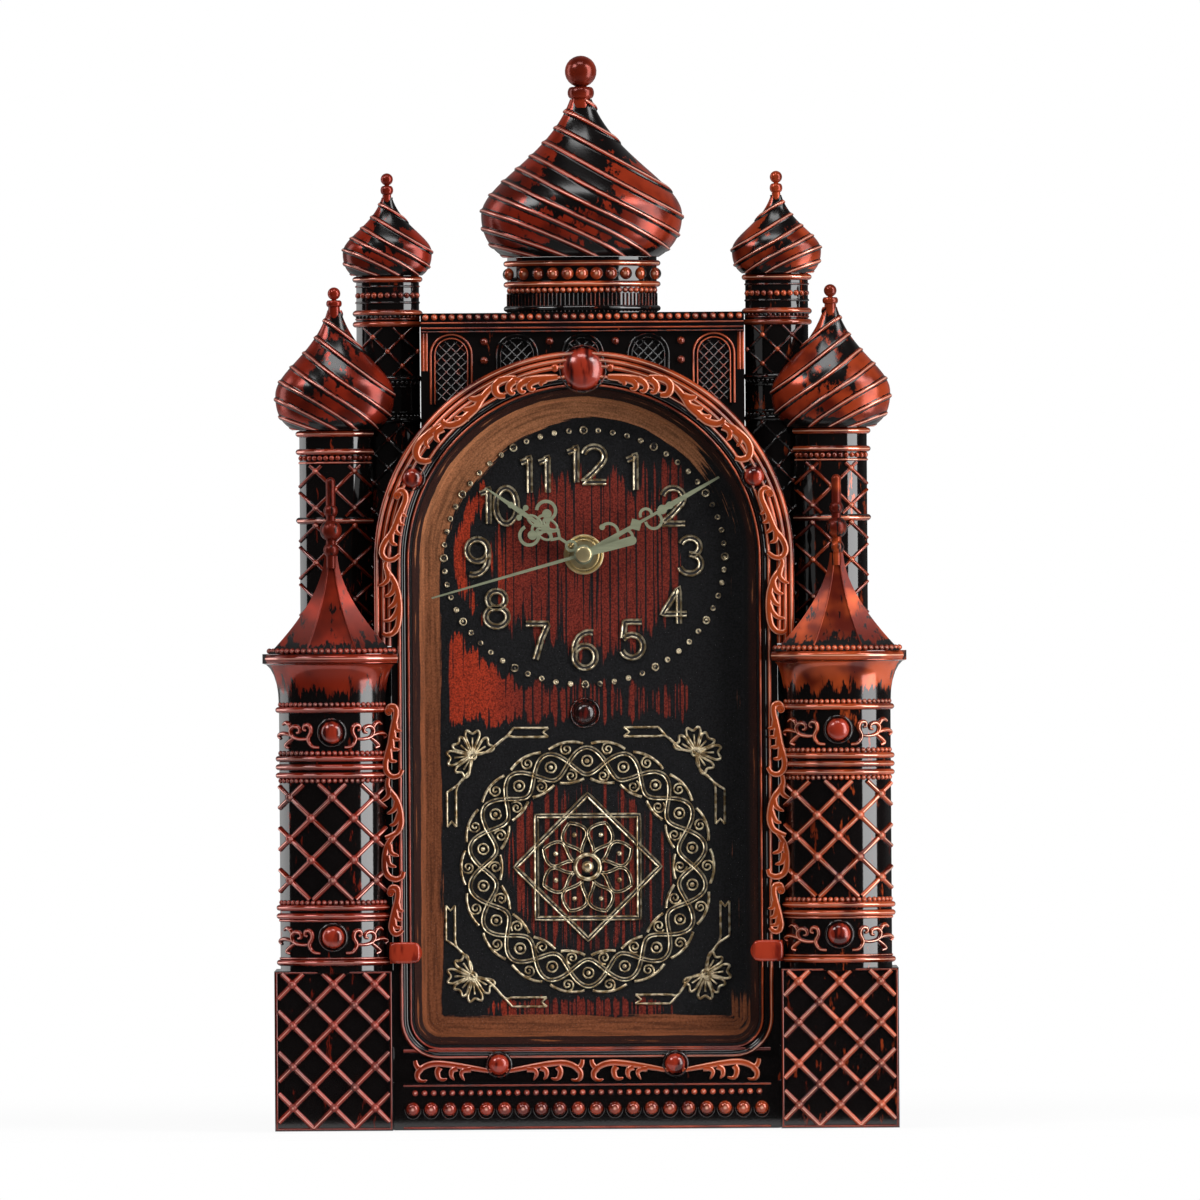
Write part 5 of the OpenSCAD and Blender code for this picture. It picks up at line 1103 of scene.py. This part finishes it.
numerals = {
    "0": strokes(arc(0, 0.5, 0.3, 0.5, 90, 450, 28)),
    "1": strokes([(-0.16, 0.84), (0.0, 0.9), (0.08, 1.0), (0.08, 0.5), (0.08, 0.0)]),
    "2": strokes(np.vstack([arc(0, 0.72, 0.3, 0.28, 165, -35, 14), [(0.0, 0.28), (-0.32, 0.0)]]),
                 [(-0.32, 0.0), (0.0, 0.0), (0.34, 0.0)]),
    "3": strokes(arc(0, 0.75, 0.27, 0.25, 160, -80, 14), arc(0, 0.27, 0.31, 0.27, 95, -160, 16)),
    "4": strokes([(0.12, 0.0), (0.12, 0.5), (0.12, 1.0), (-0.1, 0.65), (-0.34, 0.27), (0.0, 0.27),
                  (0.34, 0.27)]),
    "5": strokes([(0.28, 1.0), (0.0, 1.0), (-0.2, 1.0), (-0.25, 0.55)],
                 np.vstack([[(-0.25, 0.52)], arc(0, 0.32, 0.31, 0.32, 125, -155, 18)])),
    "6": strokes(arc(0, 0.31, 0.3, 0.31, 90, 450, 22), arc(0.12, 0.5, 0.42, 0.5, 75, 190, 12)),
    "7": strokes([(-0.3, 1.0), (0.0, 1.0), (0.32, 1.0), (0.12, 0.55), (-0.04, 0.0)]),
    "8": strokes(arc(0, 0.76, 0.25, 0.24, 90, 450, 20), arc(0, 0.27, 0.31, 0.27, 90, 450, 22)),
    "9": strokes(arc(0, 0.69, 0.3, 0.31, 90, 450, 22), arc(-0.12, 0.5, 0.42, 0.5, -105, 10, 12)),
}
numeral_spots = {
    "12": (0.2, 278.9), "1": (20.8, 275.5), "2": (37.6, 261.2), "3": (44.7, 240.2), "4": (38.0, 219.2),
    "5": (20.0, 205.0), "6": (0.2, 200.8), "7": (-20.0, 204.5), "8": (-36.8, 218.4), "9": (-44.7, 240.2),
    "10": (-36.8, 261.7), "11": (-20.0, 274.7),
}
numeral_h, pen_half, pen_rise = 15.0, 1.35, 1.0
foil_parts = []
for figure, (x, h) in numeral_spots.items():
    pitch = 7.6 if figure == "11" else 8.6
    for number, digit in enumerate(figure):
        middle = x + (number - (len(figure) - 1) / 2) * pitch
        for line in numerals[digit]:
            pen = line if len(line) > 12 else refined(line, 4 * len(line))
            pen = flat(middle + pen[:, 0] * numeral_h, h + (pen[:, 1] - 0.5) * numeral_h, relief_d)
            foil_parts.append(foil(pen, pen_half, pen_rise))
minute = np.arange(60) * tau / 60
dots = flat(dots_x + dots_half * np.sin(minute), dots_h + dots_rise * np.cos(minute), relief_d)
foil_parts.append(beads(dots, 0.75, 5, 8, 0.4))
for number, dot in enumerate(dots):
    foil_parts.append(seat_ring(dot, 0.85 if number % 5 else 1.4, 0.4, 0.7, 0.6, 12))
piece("numerals", foil_parts, gold_foil, "dial")


def polar(radius, angle):
    """Dial points at a distance and angle from the medallion's middle."""
    return flat(star_x + radius * np.cos(angle), star_h + radius * np.sin(angle), relief_d)


star_r, ring_r = 30.5, 44.6
heart = (star_x, star_h, relief_d)
star_parts = []
for lean in (0.0, pi / 4):
    corner = np.linspace(0, tau, 5) + lean
    x, h = refined(star_r * np.stack([np.cos(corner), np.sin(corner)], -1), 97)[:-1].T
    star_parts.append(foil(flat(star_x + x, star_h + h, relief_d), 1.1, 1.0, loop=True))
petal = np.linspace(0, 1, 22)
for angle in np.linspace(0, tau, 8, endpoint=False) + pi / 8:
    for side in (-1, 1):
        swing = angle + side * 0.37 * np.sin(pi * petal**1.2)
        star_parts.append(foil(polar(6.5 + 13.5 * petal, swing), 0.75, 0.9))
    star_parts.append(beads(polar(14.5, angle), 1.1, gilt_and_painted_light=0.85))
star_parts.append(seat_ring(heart, 5.2, 0.9, 0.9, count=28))
star_parts.append(beads([heart], 2.6, gilt_and_painted_light=0.8))
around = np.linspace(0, tau, 480, endpoint=False)
for flip in (-1, 1):
    braid = polar(ring_r + flip * 5.6 * np.sin(9 * around), around)
    star_parts.append(foil(braid, 0.95, 1.0, loop=True))
curl = np.linspace(0, 1.55 * tau, 30)
coil = 2.7 * (1 - curl / (1.8 * tau))
bend = np.linspace(-1, 1, 8)
for angle in np.linspace(0, tau, 18, endpoint=False):
    eye = polar(ring_r, angle + tau / 36)
    star_parts.append(seat_ring(eye, 2.2, 0.42, 0.8, 0.7, 16))
    star_parts.append(beads(eye, 1.0, gilt_and_painted_light=0.85))
    for side in (-1, 1):
        turn = side * curl + angle
        scroll = polar(ring_r + side * 5.7, angle) + flat(coil * np.cos(turn), coil * np.sin(turn), 0.0)
        star_parts.append(cord(scroll, 0.42, 0.8, 0.7))
        sprig = polar(ring_r + side * (8.6 - 1.2 * bend**2), angle + side * 0.14 * bend)
        star_parts.append(cord(sprig, 0.6, 0.8))
piece("star_medallion", star_parts, gold_foil, "dial")

petal_half, tail_half, strip_long = 3.0, 1.9, 14.5
petal_edge = smooth([(0.08, 0), (0.4, 0.45), (0.8, 1), (1, 0.75), (0.88, 0), (1, -0.75), (0.8, -1),
                     (0.4, -0.45), (0.08, 0)], 34)
petal_vein = smooth([(0.12, 0), (0.4, 0), (0.72, 0)], 6)
bow_spots = [
    ((-47.5, 156.7), (-15.5, 166.3), (-56.3, 126.8)), ((46.6, 157.5), (16.4, 166.3), (56.7, 127.3)),
    ((-47.9, 63.8), (-16.8, 52.9), (-57.1, 93.7)), ((50.0, 64.3), (20.6, 53.8), (58.4, 94.9)),
]
bow_parts = []
for knot, level_end, upright_end in bow_spots:
    kx, kh = knot
    inward = (1 if kx < 0 else -1), (-1 if kh > star_h else 1)
    outward = np.arctan2(-inward[1], -inward[0])
    for fan, length in ((-1.75, 9.5), (-0.8, 10.5), (0.05, 9.0), (0.9, 10.5), (1.8, 9.5)):
        a = outward + fan
        for line, half in ((petal_edge, 0.55), (petal_vein, 0.4)):
            far, wide = length * line[:, 0], petal_half * line[:, 1]
            x = kx + far * np.cos(a) - wide * np.sin(a)
            h = kh + far * np.sin(a) + wide * np.cos(a)
            bow_parts.append(cord(flat(x, h, relief_d), half, 0.8))
    bow_parts.append(seat_ring((*knot, relief_d), 1.7, 0.55, 0.9, count=14))
    for end, order, leave, arrive in ((level_end, 1, -1.5, 2.0), (upright_end, -1, -1.0, 3.0)):
        (ka, kc), (ea, ec), (sa, sc) = knot[::order], end[::order], inward[::order]
        near = ea - sa * strip_long
        lines = []
        for side in (-tail_half, tail_half):
            bend = (ka + sa * 6, kc + sc * leave), (near - sa * 3.5, ec + sc * arrive)
            lines.append(smooth([(ka, kc), *bend, (near, ec + side)], 20))
            lines.append(refined([(near, ec + side), (ea, ec + side)], 8))
        lines.append(np.array([(ea, ec - tail_half), (ea - sa * 2.2, ec), (ea, ec + tail_half)]))
        bow_parts += [cord(flat(*line.T[::order], relief_d), 0.5, 0.7) for line in lines]
piece("corner_bows", bow_parts, gold_foil, "dial")


# Glass, hands and movement. A thin clear sheet behind the lip, stamped satin brass hands on a polished brass
# nut, and the plastic quartz movement behind the dial; every solid takes its finish here.
def finish(name, colour, metal, roughness, scale, depth=0.15, coat=0.0):
    """A plain finish: noise dims its colour by up to a fifth, moves its roughness by as much and dents its
    surface a little."""
    material, tree, shader, spot = blank(name)
    grain = noise(tree, stretched(tree, spot, scale), 1.0, 3.0)
    dim = tuple(c * 0.82 for c in colour) + (1,)
    feed(shader, Base_Color=tint(tree, ramp(tree, grain, 0.3, 0.7), dim, colour + (1,)), Metallic=metal,
         Roughness=ramp(tree, grain, 0.2, 0.8, roughness * 0.85, roughness * 1.2), Coat_Weight=coat,
         Normal=dented(tree, grain, depth, 0.0002))
    return material


glass = finish("clear_sheet", (0.02, 0.02, 0.02), 0.0, 0.03, (30, 30, 30), 0.0)
feed(glass.node_tree.nodes["Principled BSDF"], Alpha=0.03)
glass.surface_render_method = "BLENDED"
satin_brass = finish("satin_brass", (0.29, 0.31, 0.2), 0.15, 0.42, (90, 90, 900))
polished = finish("polished_brass", (0.86, 0.7, 0.38), 0.85, 0.3, (200, 200, 200), 0.05)
steel = finish("plated_steel", (0.62, 0.62, 0.64), 1.0, 0.3, (900, 900, 120))
black_plastic = finish("black_plastic", (0.02, 0.02, 0.021), 0.0, 0.48, (1400, 1400, 1400))
white_plastic = finish("white_plastic", (0.78, 0.77, 0.72), 0.0, 0.42, (500, 500, 500))
finishes = {
    "window_lens": glass, "hour_hand": satin_brass, "minute_hand": satin_brass, "second_hand": satin_brass,
    "dial_washer": polished, "bush_nut": polished, "hanger_plate": steel, "hanger_screws": steel,
    "pan_screws": steel, "tower_screws": steel, "stator": steel, "cell_contacts": steel, "rotor": steel,
    "movement_case": black_plastic, "movement_cover": black_plastic, "intermediate_wheel": white_plastic,
    "second_wheel": white_plastic, "third_wheel": white_plastic, "minute_wheel": white_plastic,
    "motion_wheel": white_plastic, "hour_wheel": white_plastic, "setting_knob": white_plastic,
    "circuit_board": finish("solder_mask", (0.03, 0.2, 0.08), 0.0, 0.35, (300, 300, 300), 0.1, 0.3),
    "coil": finish("enamelled_wire", (0.5, 0.17, 0.05), 0.8, 0.3, (5000, 200, 200), 0.6),
    "dry_cell": finish("cell_sleeve", (0.05, 0.055, 0.07), 0.3, 0.35, (150, 600, 600), 0.05, 0.3),
    "seal_ring": finish("seal_rubber", (0.02, 0.02, 0.02), 0.0, 0.7, (800, 800, 800)),
}
for node, material in finishes.items():
    dress(node, material)
pivot, washer_d, hour_d, cap_d = (0.0, 241.0), 21.6, 26.0, 31.05
hour_aim, fret_long, fret_wide = radians(145.4), 3.3, 1.7
turn = np.linspace(0, tau, 28, endpoint=False)
frets = []
for out, across in ((18.7, 2.5), (18.7, -2.5), (25.0, 0.0)):
    s, v = out + fret_long * np.cos(turn), across + fret_wide * np.sin(turn)
    loop = flat(pivot[0] + s * np.cos(hour_aim) - v * np.sin(hour_aim),
                pivot[1] + s * np.sin(hour_aim) + v * np.cos(hour_aim), hour_d)
    frets.append((ridge(loop, 0.5, 0.12, sink=0.35, loop=True), 1.0, True))
piece("hour_frets", frets, satin_brass, "hand_metal", body="hour")
rims = [(seat_ring((*pivot, washer_d), radius, half, 0.6, count=48)[0], 1.0, True)
        for radius, half in ((7.9, 0.55), (6.3, 0.4))]
piece("washer_rims", rims, polished, "brass")
piece("centre_cap", [(cabochon((*pivot, cap_d), 3.3, 0.7), 1.0, False)], polished, "brass", body="second")
